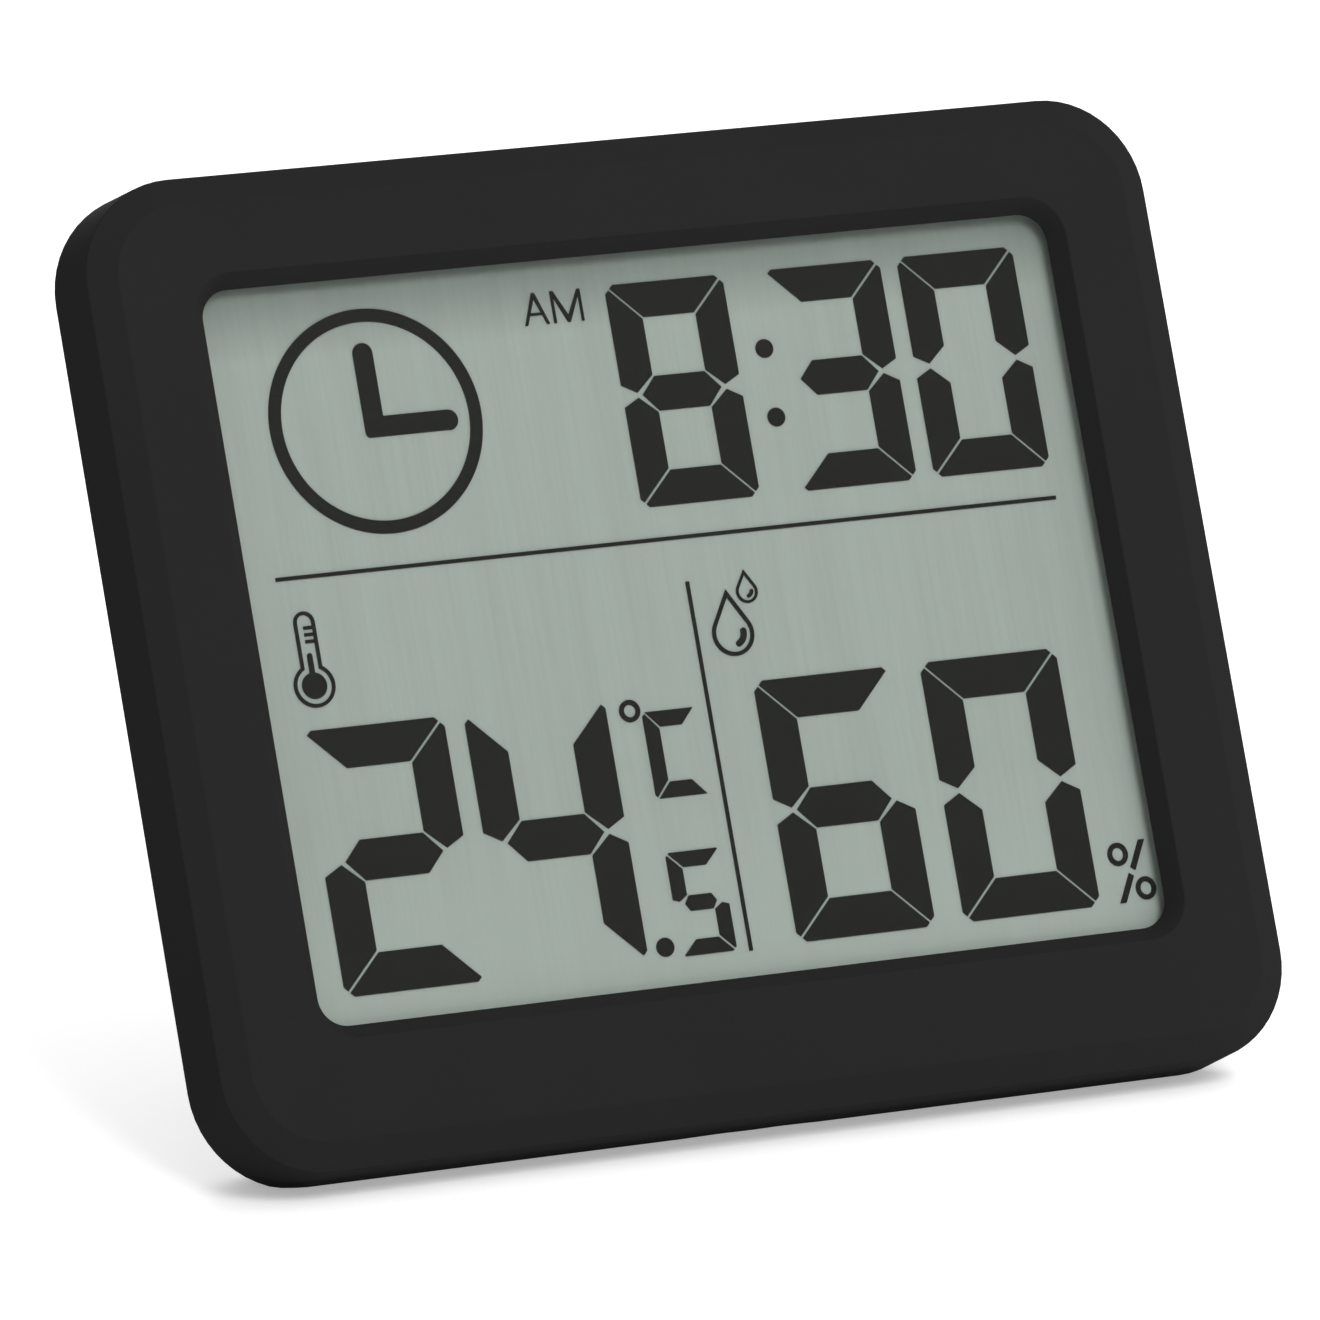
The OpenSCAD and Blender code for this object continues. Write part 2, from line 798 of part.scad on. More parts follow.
// One segment: level bars taper at 45 degrees, upright bars end in a blunt point at the middle
module segment(k, w, h, s) {
    g = seg_gap / sqrt(2);
    clip = s / 4;
    nose = 0.46 * s;
    waist = 0.32 * s;
    shoulder = 0.54 * s;
    if (k == 0 || k == 3)
        mirror([0, k == 3 ? 1 : 0])
            polygon([[clip, h / 2], [(clip + g) / 2, h / 2 - (clip - g) / 2], [s + g, h / 2 - s],
                     [w - s - g, h / 2 - s], [w - (clip + g) / 2, h / 2 - (clip - g) / 2], [w - clip, h / 2]]);
    else if (k == 6)
        polygon([[nose + 2 * seg_gap, 0], [s + g, s / 2], [w - s - g, s / 2],
                 [w - nose - 2 * seg_gap, 0], [w - s - g, -s / 2], [s + g, -s / 2]]);
    else
        translate([k < 3 ? w : 0, 0]) mirror([k < 3 ? 1 : 0, 0]) mirror([0, k == 2 || k == 4 ? 1 : 0])
            polygon([[0, waist], [0, h / 2 - clip], [(clip - g) / 2, h / 2 - (clip + g) / 2],
                     [s, h / 2 - s - g], [s, shoulder], [nose, seg_gap]]);
}

// One digit with its left side at x and its middle at y
module digit(value, x, y, w, h, s) {
    translate([x, y]) for (k = LIT[value]) segment(k, w, h, s);
}

// The clock's reading, 8:30
module time_digits() {
    reading = [8, 3, 0];
    lit() {
        for (k = [0 : 2]) digit(reading[k], time_x[k], time_y, time_w, time_h, time_s);
        for (y = [time_y + colon_up, time_y - colon_down]) translate([colon_x, y]) circle(dot_r);
    }
}

// The temperature, 24 and a small 5 after the point
module temperature_digits() {
    reading = [2, 4];
    lit() {
        for (k = [0 : 1]) digit(reading[k], warm_x[k], read_y, read_w, read_h, read_s);
        digit(5, tenth_x, read_foot + tenth_h / 2, tenth_w, tenth_h, tenth_s);
        translate([tenth_x - point_out, read_foot + dot_r + point_rise]) circle(dot_r);
    }
}

// The humidity, 60
module humidity_digits() {
    reading = [6, 0];
    lit() for (k = [0 : 1]) digit(reading[k], damp_x[k], read_y, read_w, read_h, read_s);
}

// The two ruled lines that part the readings
module display_rules() {
    lit() {
        translate([rule_in - view_w / 2, rule_y - rule_t / 2])
            square([time_right + view_w / 2 - rule_in, rule_t]);
        translate([split_x - rule_t / 2, read_foot - split_low])
            square([rule_t, rule_y - split_drop - read_foot + split_low]);
    }
}

// Frame that holds the display off the board, opened by four windows and the strip's slot
module display_holder() {
    low = ledge_low + holder_in;
    step_front = layer_back + swing_gap;
    pane_w = (glass_w - 3 * holder_edge) / 2;
    pane_low = glass_low + holder_edge;
    pane_h = (glass_high - pane_low - 2 * holder_edge) / 2;
    color("#d8d8d2") leaning() difference() {
        union() {
            between(reflect_back, board_front)
                translate([-glass_w / 2, low]) square([glass_w, glass_high - low]);
            between(step_front, reflect_back + eps)
                translate([-glass_w / 2, low]) square([glass_w, glass_low - low - seat_gap]);
        }
        for (i = [0, 1], j = [0, 1])
            between(0, body_t)
                translate([holder_edge - glass_w / 2 + i * (pane_w + holder_edge),
                           pane_low + j * (pane_h + holder_edge)])
                    square([pane_w, pane_h]);
        between(0, body_t) strip_outline(slide_gap);
    }
}

// Outline of the rubber strip, or of the slot that holds it with a gap all round
module strip_outline(gap) {
    translate([0, strip_up]) square([glass_w - 2 * strip_in + 2 * gap, strip_w + 2 * gap], center = true);
}

// Conducting rubber strip between the glass's ledge and the board
module elastomer_connector() {
    color("#c98a9a") leaning() between(layer_front, board_front) strip_outline(0);
}

// Circuit board with an ear on each side for its screws
module circuit_board() {
    color("#1f5a3a") leaning() difference() {
        between(board_front, board_back) {
            translate([0, (ledge_low + glass_high) / 2]) rounded(glass_w, glass_high - ledge_low, board_corner);
            for (s = [-1, 1]) translate([s * ear_x, ear_up]) circle(ear_r);
            translate([-ear_x, ear_up - ear_r]) square([2 * ear_x, 2 * ear_r]);
        }
        at_board_screws() drum(board_screw_r + shank_gap, 0, body_t);
    }
}

// Drop of resin over the bonded controller
module controller_blob() {
    ball = arc_r(2 * blob_r, blob_h);
    color("#141414") leaning() translate([blob_x, parts_up, 0]) intersection() {
        translate([0, 0, -(board_back + blob_h - ball)]) sphere(ball, $fn = wide_fn);
        drum(blob_r + past, board_back, board_back + blob_h + past);
    }
}

// Quartz crystal in its can, lying on the board
module crystal() {
    low = parts_up - (crystal_l + lead_l) / 2;
    color("#c4c6c8") leaning()
        translate([crystal_in - glass_w / 2, low, -(board_back + crystal_r + crystal_rim)])
            rotate([-90, 0, 0]) {
                cylinder(r = crystal_r, h = crystal_l);
                translate([0, 0, crystal_l]) cylinder(r = crystal_r + crystal_rim, h = rim_l);
                for (s = [-1, 1]) translate([s * lead_at, 0, crystal_l]) cylinder(r = lead_r, h = lead_l);
            }
}

// Temperature and humidity sensor behind the air slots
module climate_sensor() {
    color("#3a3a3c") leaning() translate([button_out, vent_up, 0]) difference() {
        between(board_back, board_back + sensor_t) square(sensor_w, center = true);
        drum(sensor_hole, board_back + sensor_t - sensor_sink, board_back + sensor_t + past);
    }
}

// Resistors and capacitors in two rows beside the controller
module chip_parts() {
    color("#6f5a45") leaning()
        for (i = [0 : chip_n - 1], s = [-1, 1])
            translate([blob_x + chip_at + i * chip_step, parts_up + s * chip_row / 2])
                between(board_back, board_back + chip_t) square([chip_w, chip_l], center = true);
}

// Three switches under the buttons, each with a well for its plunger
module tact_switches() {
    color("#8f9092") leaning() at_buttons() difference() {
        union() {
            between(board_back, switch_face) rounded(switch_w, switch_w, switch_corner);
            for (sx = [-1, 1], sy = [-1, 1])
                translate([sx * (switch_w / 2 + foot_out), sy * foot_at])
                    between(board_back, board_back + foot_t) square([foot_l, foot_w], center = true);
        }
        drum(plunger_r + slide_gap, well_floor, switch_face + past);
    }
}

// Plunger of one switch
module plunger(k) {
    color("#1a1a1a") leaning() at_button(k) drum(plunger_r, plunger_low, plunger_end);
}
module plunger_top() { plunger(2); }
module plunger_middle() { plunger(1); }
module plunger_bottom() { plunger(0); }

// One button: stem, flange and dished cap, turned as a single section
module button(k) {
    color("#303030") leaning() at_button(k) rotate_extrude()
        polygon([[0, -plunger_end], [stem_r, -plunger_end], [stem_r, -flange_front],
                 [flange_r, -flange_front], [flange_r, -flange_back], [button_r, -flange_back],
                 [button_r, -(cap_face - cap_bevel)], [button_r - cap_bevel, -cap_face],
                 [button_r - 2 * cap_bevel, -cap_face], [0, -(cap_face - cap_dish)]]);
}
module button_top() { button(2); }
module button_middle() { button(1); }
module button_bottom() { button(0); }

// Can of the coin cell, its rim rolled over the gasket
module coin_cell_can() {
    r = cell_d / 2;
    color("#c9cbcc") leaning() at_cell() rotate_extrude()
        polygon([[0, -(cell_low + cap_t)], [cap_r + gasket_w, -(cell_low + cap_t)],
                 [cap_r + gasket_w, -(cell_low + rim_low)], [r - roll, -(cell_low + rim_low)],
                 [r, -(cell_low + rim_low + roll)], [r, -(cell_high - roll)],
                 [r - roll, -cell_high], [0, -cell_high]]);
}

// Ring of gasket between can and cap
module coin_cell_gasket() {
    color("#e6e6e0") leaning() at_cell() between(cell_low + rim_low, cell_low + cap_t) difference() {
        circle(cap_r + gasket_w);
        circle(cap_r);
    }
}

// Cap of the coin cell, the pole that the sprung leaf touches
module coin_cell_cap() {
    color("#b9bbbd") leaning() at_cell() rotate_extrude()
        polygon([[0, -cell_low], [cap_r - cap_edge, -cell_low], [cap_r, -(cell_low + rim_low)],
                 [cap_r, -(cell_low + cap_t)], [0, -(cell_low + cap_t)]]);
}

// Negative contact: a leaf on the bay's floor with two sprung arches and a tail to the board
module negative_contact() {
    r = arc_r(arch_l, leaf_t);
    color("#d0d2d2") leaning() at_cell() {
        between(bay_floor, bay_floor + leaf_t)
            translate([0, -leaf_off]) square([leaf_w, leaf_l], center = true);
        for (s = [-1, 1]) intersection() {
            translate([s * arch_at, 0, -(bay_floor + 2 * leaf_t - r)])
                rotate([0, 90, 0]) cylinder(r = r, h = arch_w, center = true, $fn = arch_fn);
            between(bay_floor + leaf_t - eps, bay_floor + 2 * leaf_t)
                translate([s * arch_at, 0]) square([2 * arch_w, arch_l + past], center = true);
        }
        between(board_back, bay_floor + eps) translate([0, -tail_at]) square([tail_w, leaf_t], center = true);
    }
}

// Positive contact: a plate in the bay's side pocket that bears on the can, with a tail to the board
module positive_contact() {
    touch = cell_d / 2 + touch_gap;
    color("#d0d2d2") leaning() at_cell() {
        between(bay_floor, groove_front - plate_drop)
            translate([0, plate_at]) square([plate_w, leaf_t], center = true);
        between(bay_floor + touch_low, groove_front - touch_low)
            translate([-touch_w / 2, touch]) square([touch_w, plate_at - touch]);
        between(board_back, bay_floor + eps) translate([0, plate_at]) square([tail_w, leaf_t], center = true);
    }
}

// Battery door: a disc with a coin slot, a skirt round the cell and catches under the ledge
module battery_door() {
    color("#303030") leaning() at_cell() difference() {
        union() {
            drum(tab_r, door_under, door_face);
            drum(hub_r, hub_low, door_under + eps);
            between(tab_front, hub_low + eps) difference() {
                circle(hub_r);
                circle(bay_r);
            }
            for (k = [0 : door_tabs - 1])
                between(tab_front, tab_back) intersection() {
                    difference() {
                        circle(tab_r);
                        circle(bay_r);
                    }
                    sector(tab_r + past, tab_angle(k) - tab_span / 2, tab_angle(k) + tab_span / 2);
                }
        }
        intersection() {
            translate([0, 0, -(door_face + coin_r - coin_sink)]) rotate([90, 0, 0])
                cylinder(r = coin_r, h = coin_w, center = true, $fn = wide_fn);
            between(door_face - past, door_face + past) square([coin_l, coin_w + past], center = true);
        }
        translate([0, tab_r - mark_in]) drum(mark_r, door_face - mark_sink, door_face + past);
    }
}

// Stand: a ribbed plate with a round foot, a barrel on two pins and a flat that stops it when open
module kick_stand() {
    color("#2d2d2d") leaning()
        translate([0, hinge_up, -hinge_d]) rotate([stand_open, 0, 0]) stand_closed();
}

// The stand as it lies shut, about its own hinge axis
module stand_closed() {
    difference() {
        across(stand_w) {
            circle(barrel_r);
            translate([-foot_r, -stand_l]) square([2 * foot_r, stand_l]);
            translate([0, -stand_l]) circle(foot_r);
            stop_flat();
        }
        translate([0, 0, foot_r - stand_sink]) linear_extrude(stand_sink + past) difference() {
            translate([stand_edge - stand_w / 2, 2 * stand_edge - stand_l])
                square([stand_w - 2 * stand_edge, stand_l - 3 * stand_edge]);
            for (s = [-1, 1])
                translate([s * stand_w / 6 - stand_rib / 2, -stand_l]) square([stand_rib, stand_l]);
        }
        for (k = [0 : grip_n - 1])
            translate([0, grip_off + grip_step * k - stand_l, -foot_r])
                rotate([0, 90, 0]) cylinder(r = grip_r, h = stand_w + 2 * past, center = true);
    }
    for (s = [-1, 1])
        translate([s * (stand_w / 2 + pin_l / 2 - eps), 0, 0]) rotate([0, 90, 0])
            cylinder(r = pin_r, h = pin_l, center = true);
}

// Corner of the barrel that comes flat against the recess's end when the stand is open
module stop_flat() {
    n = [sin(stand_open), cos(stand_open)];
    t = [cos(stand_open), -sin(stand_open)];
    polygon([[0, 0], barrel_r * n, barrel_r * n + stop_l * t, [foot_r, -barrel_r], [0, -barrel_r]]);
}

// Extrudes a side view across the stand. Its x is the distance out of the back and its y is up.
module across(w) {
    rotate([0, 90, 0]) linear_extrude(w, center = true) children();
}

// Case screws: a shank, a head and its cross
module case_screws() {
    color("#8c8f93") leaning() at_case_screws()
        screw(screw_r, boss_floor + tip_gap, head_r, body_t - head_well, head_h);
}

// Board screws through the board's ears
module board_screws() {
    color("#b8babd") leaning() at_board_screws()
        screw(board_screw_r, boss_floor + tip_gap, board_head_r, board_back, board_head_h);
}

// A screw with its point at one depth and the underside of its head at another
module screw(r, tip, wide, seat, tall) {
    cross_l = 1.3 * wide;
    difference() {
        union() {
            drum(r, tip, seat + eps);
            drum(wide, seat, seat + tall);
        }
        for (a = [0, 90])
            rotate([0, 0, a]) between(seat + tall / 2, seat + tall + past)
                square([cross_l, cross_w], center = true);
    }
}

front_casing();
rear_cover();
front_polariser();
front_glass();
display_seal();
time_digits();
temperature_digits();
humidity_digits();
display_rules();
rear_glass();
rear_polariser();
display_holder();
elastomer_connector();
circuit_board();
controller_blob();
crystal();
climate_sensor();
chip_parts();
tact_switches();
plunger_top();
plunger_middle();
plunger_bottom();
button_top();
button_middle();
button_bottom();
coin_cell_can();
coin_cell_gasket();
coin_cell_cap();
negative_contact();
positive_contact();
battery_door();
kick_stand();
case_screws();
board_screws();
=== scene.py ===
"""Dresses a slim digital thermometer: moulded black casing, segment display, controls and stand.

Shapes are worked out in flat coordinates, in millimetres: x to the right, y up the front face from
its bottom edge, and a depth behind that face. place() turns them into the frame, in metres.
"""

import json
import math

import bpy
import numpy as np
from mathutils import Matrix


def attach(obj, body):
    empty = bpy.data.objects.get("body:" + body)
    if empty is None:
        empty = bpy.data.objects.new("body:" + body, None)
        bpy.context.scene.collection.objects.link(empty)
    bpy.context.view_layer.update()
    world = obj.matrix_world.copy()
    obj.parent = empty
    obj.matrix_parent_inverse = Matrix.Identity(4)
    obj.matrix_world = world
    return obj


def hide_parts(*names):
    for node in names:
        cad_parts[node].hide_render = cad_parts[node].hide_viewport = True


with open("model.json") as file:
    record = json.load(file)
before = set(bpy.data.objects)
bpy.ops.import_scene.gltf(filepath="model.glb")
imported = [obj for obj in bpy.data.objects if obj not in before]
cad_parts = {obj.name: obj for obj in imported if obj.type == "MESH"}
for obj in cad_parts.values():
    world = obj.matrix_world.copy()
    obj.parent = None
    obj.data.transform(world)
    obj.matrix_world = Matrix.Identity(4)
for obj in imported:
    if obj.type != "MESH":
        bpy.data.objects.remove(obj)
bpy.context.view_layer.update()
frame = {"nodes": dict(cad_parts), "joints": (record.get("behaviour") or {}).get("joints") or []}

bl_info = {
    "name": "Slim Digital Thermometer",
    "version": (1, 0, 0),
    "blender": (4, 5, 0),
    "location": "3D View > Sidebar > Thermometer",
    "description": "Dresses the packed model of a slim digital thermometer and lights it",
    "category": "Object",
}

MM = 0.001
PHOTO_SIDE = 1320
SENSOR = 36.0

# Directions of the flat coordinates. The battery door turns about the back's normal, which gives the lean.
RIGHT = np.array([1.0, 0.0, 0.0])
DEEP = np.array(next(j for j in frame["joints"] if j["name"] == "door_turn")["axis"])
UP = np.cross(RIGHT, DEEP)
FLAT = np.stack([RIGHT, UP, DEEP])
LEAN = math.atan2(-DEEP[2], DEEP[1])


def projected(node):
    """A CAD node's points along the flat directions, in millimetres from the frame's origin."""
    mesh = frame["nodes"][node].data
    points = np.empty(len(mesh.vertices) * 3)
    mesh.vertices.foreach_get("co", points)
    return points.reshape(-1, 3) @ FLAT.T / MM


ORIGIN = projected("front_casing").min(axis=0) * (0, 1, 1)


def flat_box(node):
    """Lowest and highest corner of a CAD node in flat coordinates."""
    points = projected(node) - ORIGIN
    return points.min(axis=0), points.max(axis=0)


def place(points):
    """Flat coordinates turned into the frame: each one times its direction, from the casing's corner."""
    return (np.asarray(points) + ORIGIN) @ FLAT * MM


BODY_W, BODY_H, SIDE_D = flat_box("front_casing")[1] * (2, 1, 1)
MID = BODY_H / 2
GLASS_FRONT = flat_box("front_polariser")[0][2]
LAYER = flat_box("time_digits")[0][2], flat_box("time_digits")[1][2]
# The signs are measured from a point a little to the right of the face's middle and above it
SIGN_ORIGIN = np.array([0.39, MID + 0.1])


def linear(code):
    """An sRGB hex colour as linear red, green and blue, with an alpha of 1."""
    srgb = np.array([int(code[i:i + 2], 16) for i in (1, 3, 5)]) / 255
    values = np.where(srgb <= 0.04045, srgb / 12.92, ((srgb + 0.055) / 1.055) ** 2.4)
    return (*values.tolist(), 1.0)


def size(name, description, default, low, high):
    """A size in millimetres for the panel."""
    return bpy.props.FloatProperty(name=name, description=description, default=default, min=low, max=high)


def colour(name, description, code):
    """A colour for the panel, from its sRGB hex value."""
    return bpy.props.FloatVectorProperty(
        name=name, description=description, default=linear(code), size=4, min=0, max=1, subtype="COLOR")


class CasingSizes(bpy.types.PropertyGroup):
    """Sizes of the front casing, in millimetres."""

    corner: size("Corner", "Radius of the corners seen from the front", 7.0, 1, 12)
    wall: size("Wall", "Thickness of the side wall", 1.6, 0.8, 3)
    draft: size("Draft", "How far the side wall leans out by its rear edge", 0.32, 0, 1)
    front: size("Front wall", "Thickness of the wall round the display", 1.8, 1, 3)
    chamfer_run: size("Chamfer run", "How far the outer chamfer runs in over the face", 1.95, 0.3, 3)
    chamfer_deep: size("Chamfer depth", "How deep the outer chamfer goes", 0.9, 0.3, 2)
    window_w: size("Window width", "Width of the display that shows", 63.9, 40, 70)
    window_h: size("Window height", "Height of the display that shows", 50.85, 30, 60)
    window_r: size("Window corner", "Radius of the window's corners at the glass", 2.0, 0.5, 5)
    window_up: size("Window up", "How far the window sits above the middle of the face", 0.9, 0, 3)
    bevel_run: size("Bevel run", "How far the window's bevel runs in", 1.05, 0.3, 2)
    notch_chord: size("Notch width", "Width of the notch for pulling the stand out", 10.5, 4, 20)
    notch_rise: size("Notch depth", "Depth of the notch for pulling the stand out", 0.45, 0.1, 1)


class SignSizes(bpy.types.PropertyGroup):
    """Sizes and places of the display's signs, in millimetres from the middle of the front face."""

    clock: bpy.props.FloatVectorProperty(
        name="Clock", description="Middle of the clock sign", default=(-20.66, 16.42), size=2)
    clock_r: size("Clock radius", "Outer radius of the clock sign's ring", 7.84, 3, 10)
    clock_line: size("Clock line", "Width of the clock sign's ring", 0.9, 0.2, 2)
    tube_line: size("Tube line", "Width of the thermometer sign's outline", 0.25, 0.1, 0.5)
    large_drop: size("Large drop", "Radius of the large drop", 1.57, 0.5, 3)
    small_drop: size("Small drop", "Radius of the small drop", 0.81, 0.3, 2)
    unit_stroke: size("Unit stroke", "Stroke of the small C", 1.1, 0.3, 2)


class Finishes(bpy.types.PropertyGroup):
    """Colours of what shows from the front."""

    casing: colour("Casing", "Black moulded plastic of the front casing", "#282828")
    cover: colour("Cover", "Black moulded plastic of the back", "#242424")
    segments: colour("Segments", "Segments that are switched on", "#191917")
    ground: colour("Ground", "Grey-green ground behind the segments", "#A3AEA6")
    floor: colour("Floor", "Pale floor", "#F6F6F6")


class StageSizes(bpy.types.PropertyGroup):
    """Camera and light. The camera stays level from side to side, and looks down by its fall."""

    azimuth: bpy.props.FloatProperty(
        name="Azimuth", description="Camera's turn round the object", default=math.radians(24.94),
        subtype="ANGLE")
    fall: bpy.props.FloatProperty(
        name="Fall", description="How far the camera looks down", default=math.radians(13.73),
        subtype="ANGLE")
    distance: size("Distance", "From the camera to the middle of the face, in millimetres", 826.9, 200, 3000)
    lens: size("Lens", "Focal length in millimetres", 329.25, 20, 800)
    face_pixel: bpy.props.FloatVectorProperty(
        name="Face pixel", description="Where the middle of the face lies in the photograph",
        default=(698.25, 622.12), size=2)
    key: bpy.props.FloatProperty(
        name="Key", description="Power of the soft lamp in front of the face and above it", default=13.5, min=0)
    back: bpy.props.FloatProperty(
        name="Back", description="Power of the broad lamp behind the object", default=30.0, min=0)
    ambient: bpy.props.FloatProperty(
        name="Ambient", description="Brightness of the studio round the object", default=0.60, min=0)
    tilt: bpy.props.FloatProperty(
        name="Tilt", description="How much brighter the studio's right side is than its middle", default=0.95,
        min=0, max=1)


# Meshes

def grid_faces(rows, columns, wrap_rows, wrap_columns):
    """Quads between each point of a grid and its next neighbours, round the end where a side wraps."""
    row, column = np.meshgrid(np.arange(rows - (not wrap_rows)), np.arange(columns - (not wrap_columns)),
                              indexing="ij")
    below, beside = (row + 1) % rows, (column + 1) % columns
    corners = [row * columns + column, row * columns + beside,
               below * columns + beside, below * columns + column]
    return np.stack(corners, axis=-1).reshape(-1, 4).tolist()


def outward(points, faces):
    """The faces, all turned round if their signed volume is negative. That volume is the sum of the
    triple products of each face's first corner with its pairs of later corners."""
    volume = 0.0
    for corners in {len(f) for f in faces}:
        ring = points[np.array([f for f in faces if len(f) == corners])]
        volume += np.einsum("ij,ikj->", ring[:, 0], np.cross(ring[:, 1:-1], ring[:, 2:]))
    return faces if volume > 0 else [f[::-1] for f in faces]


def add_piece(name, shells, finish, body="casing", smooth=35):
    """One object from closed shells in flat coordinates. It rides on a body."""
    points, faces, count = [], [], 0
    for shell_points, shell_faces in shells:
        placed = place(shell_points)
        faces += [[i + count for i in f] for f in outward(placed, shell_faces)]
        points.append(placed)
        count += len(placed)
    mesh = bpy.data.meshes.new(name)
    mesh.from_pydata(np.concatenate(points).tolist(), [], faces)
    mesh.shade_smooth()
    mesh.set_sharp_from_angle(angle=math.radians(smooth))
    mesh.materials.append(finish)
    piece = bpy.data.objects.new(name, mesh)
    bpy.context.scene.collection.objects.link(piece)
    normals = piece.modifiers.new("face_weighted_normals", "WEIGHTED_NORMAL")
    normals.keep_sharp = True
    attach(piece, body)
    return piece


def filleted(corners, radii, steps=5):
    """A profile with round corners: at each inner corner an arc of its radius touches both sides.
    The arc starts the radius times the tangent of half the turn before the corner."""
    corners = np.asarray(corners, float)
    made = [corners[:1]]
    for before, corner, after, radius in zip(corners[:-2], corners[1:-1], corners[2:], radii):
        come, go = corner - before, after - corner
        come, go = come / np.linalg.norm(come), go / np.linalg.norm(go)
        turn = math.atan2(come[0] * go[1] - come[1] * go[0], come @ go)
        side = math.copysign(radius, turn)
        start = corner - come * radius * math.tan(abs(turn) / 2)
        centre = start + side * np.array([-come[1], come[0]])
        angle = np.linspace(0, turn, steps + 1)[:, None]
        arm = start - centre
        crossed = np.array([-arm[1], arm[0]])
        made.append(centre + arm * np.cos(angle) + crossed * np.sin(angle))
    return np.concatenate(made + [corners[-1:]])


def arc(centre, radius, start, stop, steps):
    """Points of an arc: the centre plus the radius, or two radii, times cosine and sine."""
    angle = np.radians(np.linspace(start, stop, steps))
    return np.asarray(centre) + np.stack([np.cos(angle), np.sin(angle)], axis=1) * radius


def plate(outline):
    """A flat shape in the display's layer: its outline at both faces of the layer, closed by two caps."""
    outline = np.asarray(outline, float) + SIGN_ORIGIN
    count = len(outline)
    points = np.concatenate([np.column_stack([outline, np.full(count, depth)]) for depth in LAYER])
    faces = grid_faces(2, count, False, True)
    return points, faces + [list(range(count))[::-1], list(range(count, 2 * count))]


def stroke(path, width, closed=False):
    """A flat line in the display's layer. Each point steps half the width to both sides along the
    mitre, which is the normal of the mean direction over the cosine of half the turn."""
    path = np.asarray(path, float) + SIGN_ORIGIN
    ahead, behind = np.roll(path, -1, axis=0) - path, path - np.roll(path, 1, axis=0)
    if not closed:
        ahead[-1], behind[0] = behind[-1], ahead[0]
    ahead /= np.linalg.norm(ahead, axis=1, keepdims=True)
    mean = ahead + behind / np.linalg.norm(behind, axis=1, keepdims=True)
    mean /= np.linalg.norm(mean, axis=1, keepdims=True)
    mitre = np.stack([-mean[:, 1], mean[:, 0]], axis=1) / (mean * ahead).sum(axis=1, keepdims=True)
    half = mitre * np.broadcast_to(np.asarray(width) / 2, len(path))[:, None]
    near, far = LAYER
    section = [(path + half, near), (path - half, near), (path - half, far), (path + half, far)]
    grid = np.stack([np.column_stack([side, np.full(len(path), depth)]) for side, depth in section], axis=1)
    faces = grid_faces(len(path), 4, closed, True)
    if not closed:
        last = 4 * (len(path) - 1)
        faces += [[3, 2, 1, 0], [last, last + 1, last + 2, last + 3]]
    return grid.reshape(-1, 3), faces


def lathe(profile, centre, steps=64):
    """A turned shape: a profile of radius and depth, from the axis back to the axis, run round it.
    A point is the centre plus its radius times cosine and sine of the turn, at its depth."""
    profile = np.asarray(profile, float)
    turn = np.linspace(0, 2 * np.pi, steps, endpoint=False)
    rings = profile[1:-1]
    across = centre[0] + rings[:, :1] * np.cos(turn)
    up = centre[1] + rings[:, :1] * np.sin(turn)
    deep = np.broadcast_to(rings[:, 1:], across.shape)
    poles = [[*centre, profile[0, 1]], [*centre, profile[-1, 1]]]
    points = np.concatenate([np.stack([across, up, deep], axis=-1).reshape(-1, 3), poles])
    first, last = len(points) - 2, len(points) - 1
    tail = (len(rings) - 1) * steps
    faces = grid_faces(len(rings), steps, False, True)
    faces += [[first, (i + 1) % steps, i] for i in range(steps)]
    faces += [[last, tail + i, tail + (i + 1) % steps] for i in range(steps)]
    return points, faces


def rounded_ring(width, height, radius, middle_up, depth, foot_x, arc_steps=14):
    """One ring of a swept frame: a rectangle with round corners, run from the foot's right half round
    the top and back. foot_x are the places of its extra points along the foot."""
    a, b = width / 2 - radius, height / 2 - radius
    right = foot_x[foot_x > 0]
    left = foot_x[foot_x <= 0]
    flat = np.concatenate([
        np.column_stack([right, np.full(len(right), -height / 2)]),
        arc((a, -b), radius, -90, 0, arc_steps),
        arc((a, b), radius, 0, 90, arc_steps),
        arc((-a, b), radius, 90, 180, arc_steps),
        arc((-a, -b), radius, 180, 270, arc_steps),
        np.column_stack([left, np.full(len(left), -height / 2)]),
    ])
    return np.column_stack([flat + (0, middle_up), np.full(len(flat), depth)])


# Materials

def add_node(tree, kind, inputs=None, **settings):
    """Adds a node with its settings. An input is a value, or another node's output that is linked to it."""
    node = tree.nodes.new(kind)
    for name, value in settings.items():
        setattr(node, name, value)
    for name, value in (inputs or {}).items():
        if isinstance(value, bpy.types.NodeSocket):
            tree.links.new(value, node.inputs[name])
        else:
            node.inputs[name].default_value = value
    return node


def flat_vector(tree, grain=(1.0, 1.0, 1.0)):
    """Object coordinates turned back by the lean, so that x runs across the face, y into it and z up
    it, then divided by the grain in millimetres along each, so that one unit is one grain."""
    place_in = add_node(tree, "ShaderNodeTexCoord").outputs["Object"]
    turned = add_node(tree, "ShaderNodeMapping", {"Vector": place_in, "Rotation": (LEAN, 0, 0)})
    scale = tuple(1 / (g * MM) for g in grain)
    return add_node(tree, "ShaderNodeMapping", {"Vector": turned.outputs[0], "Scale": scale}).outputs[0]


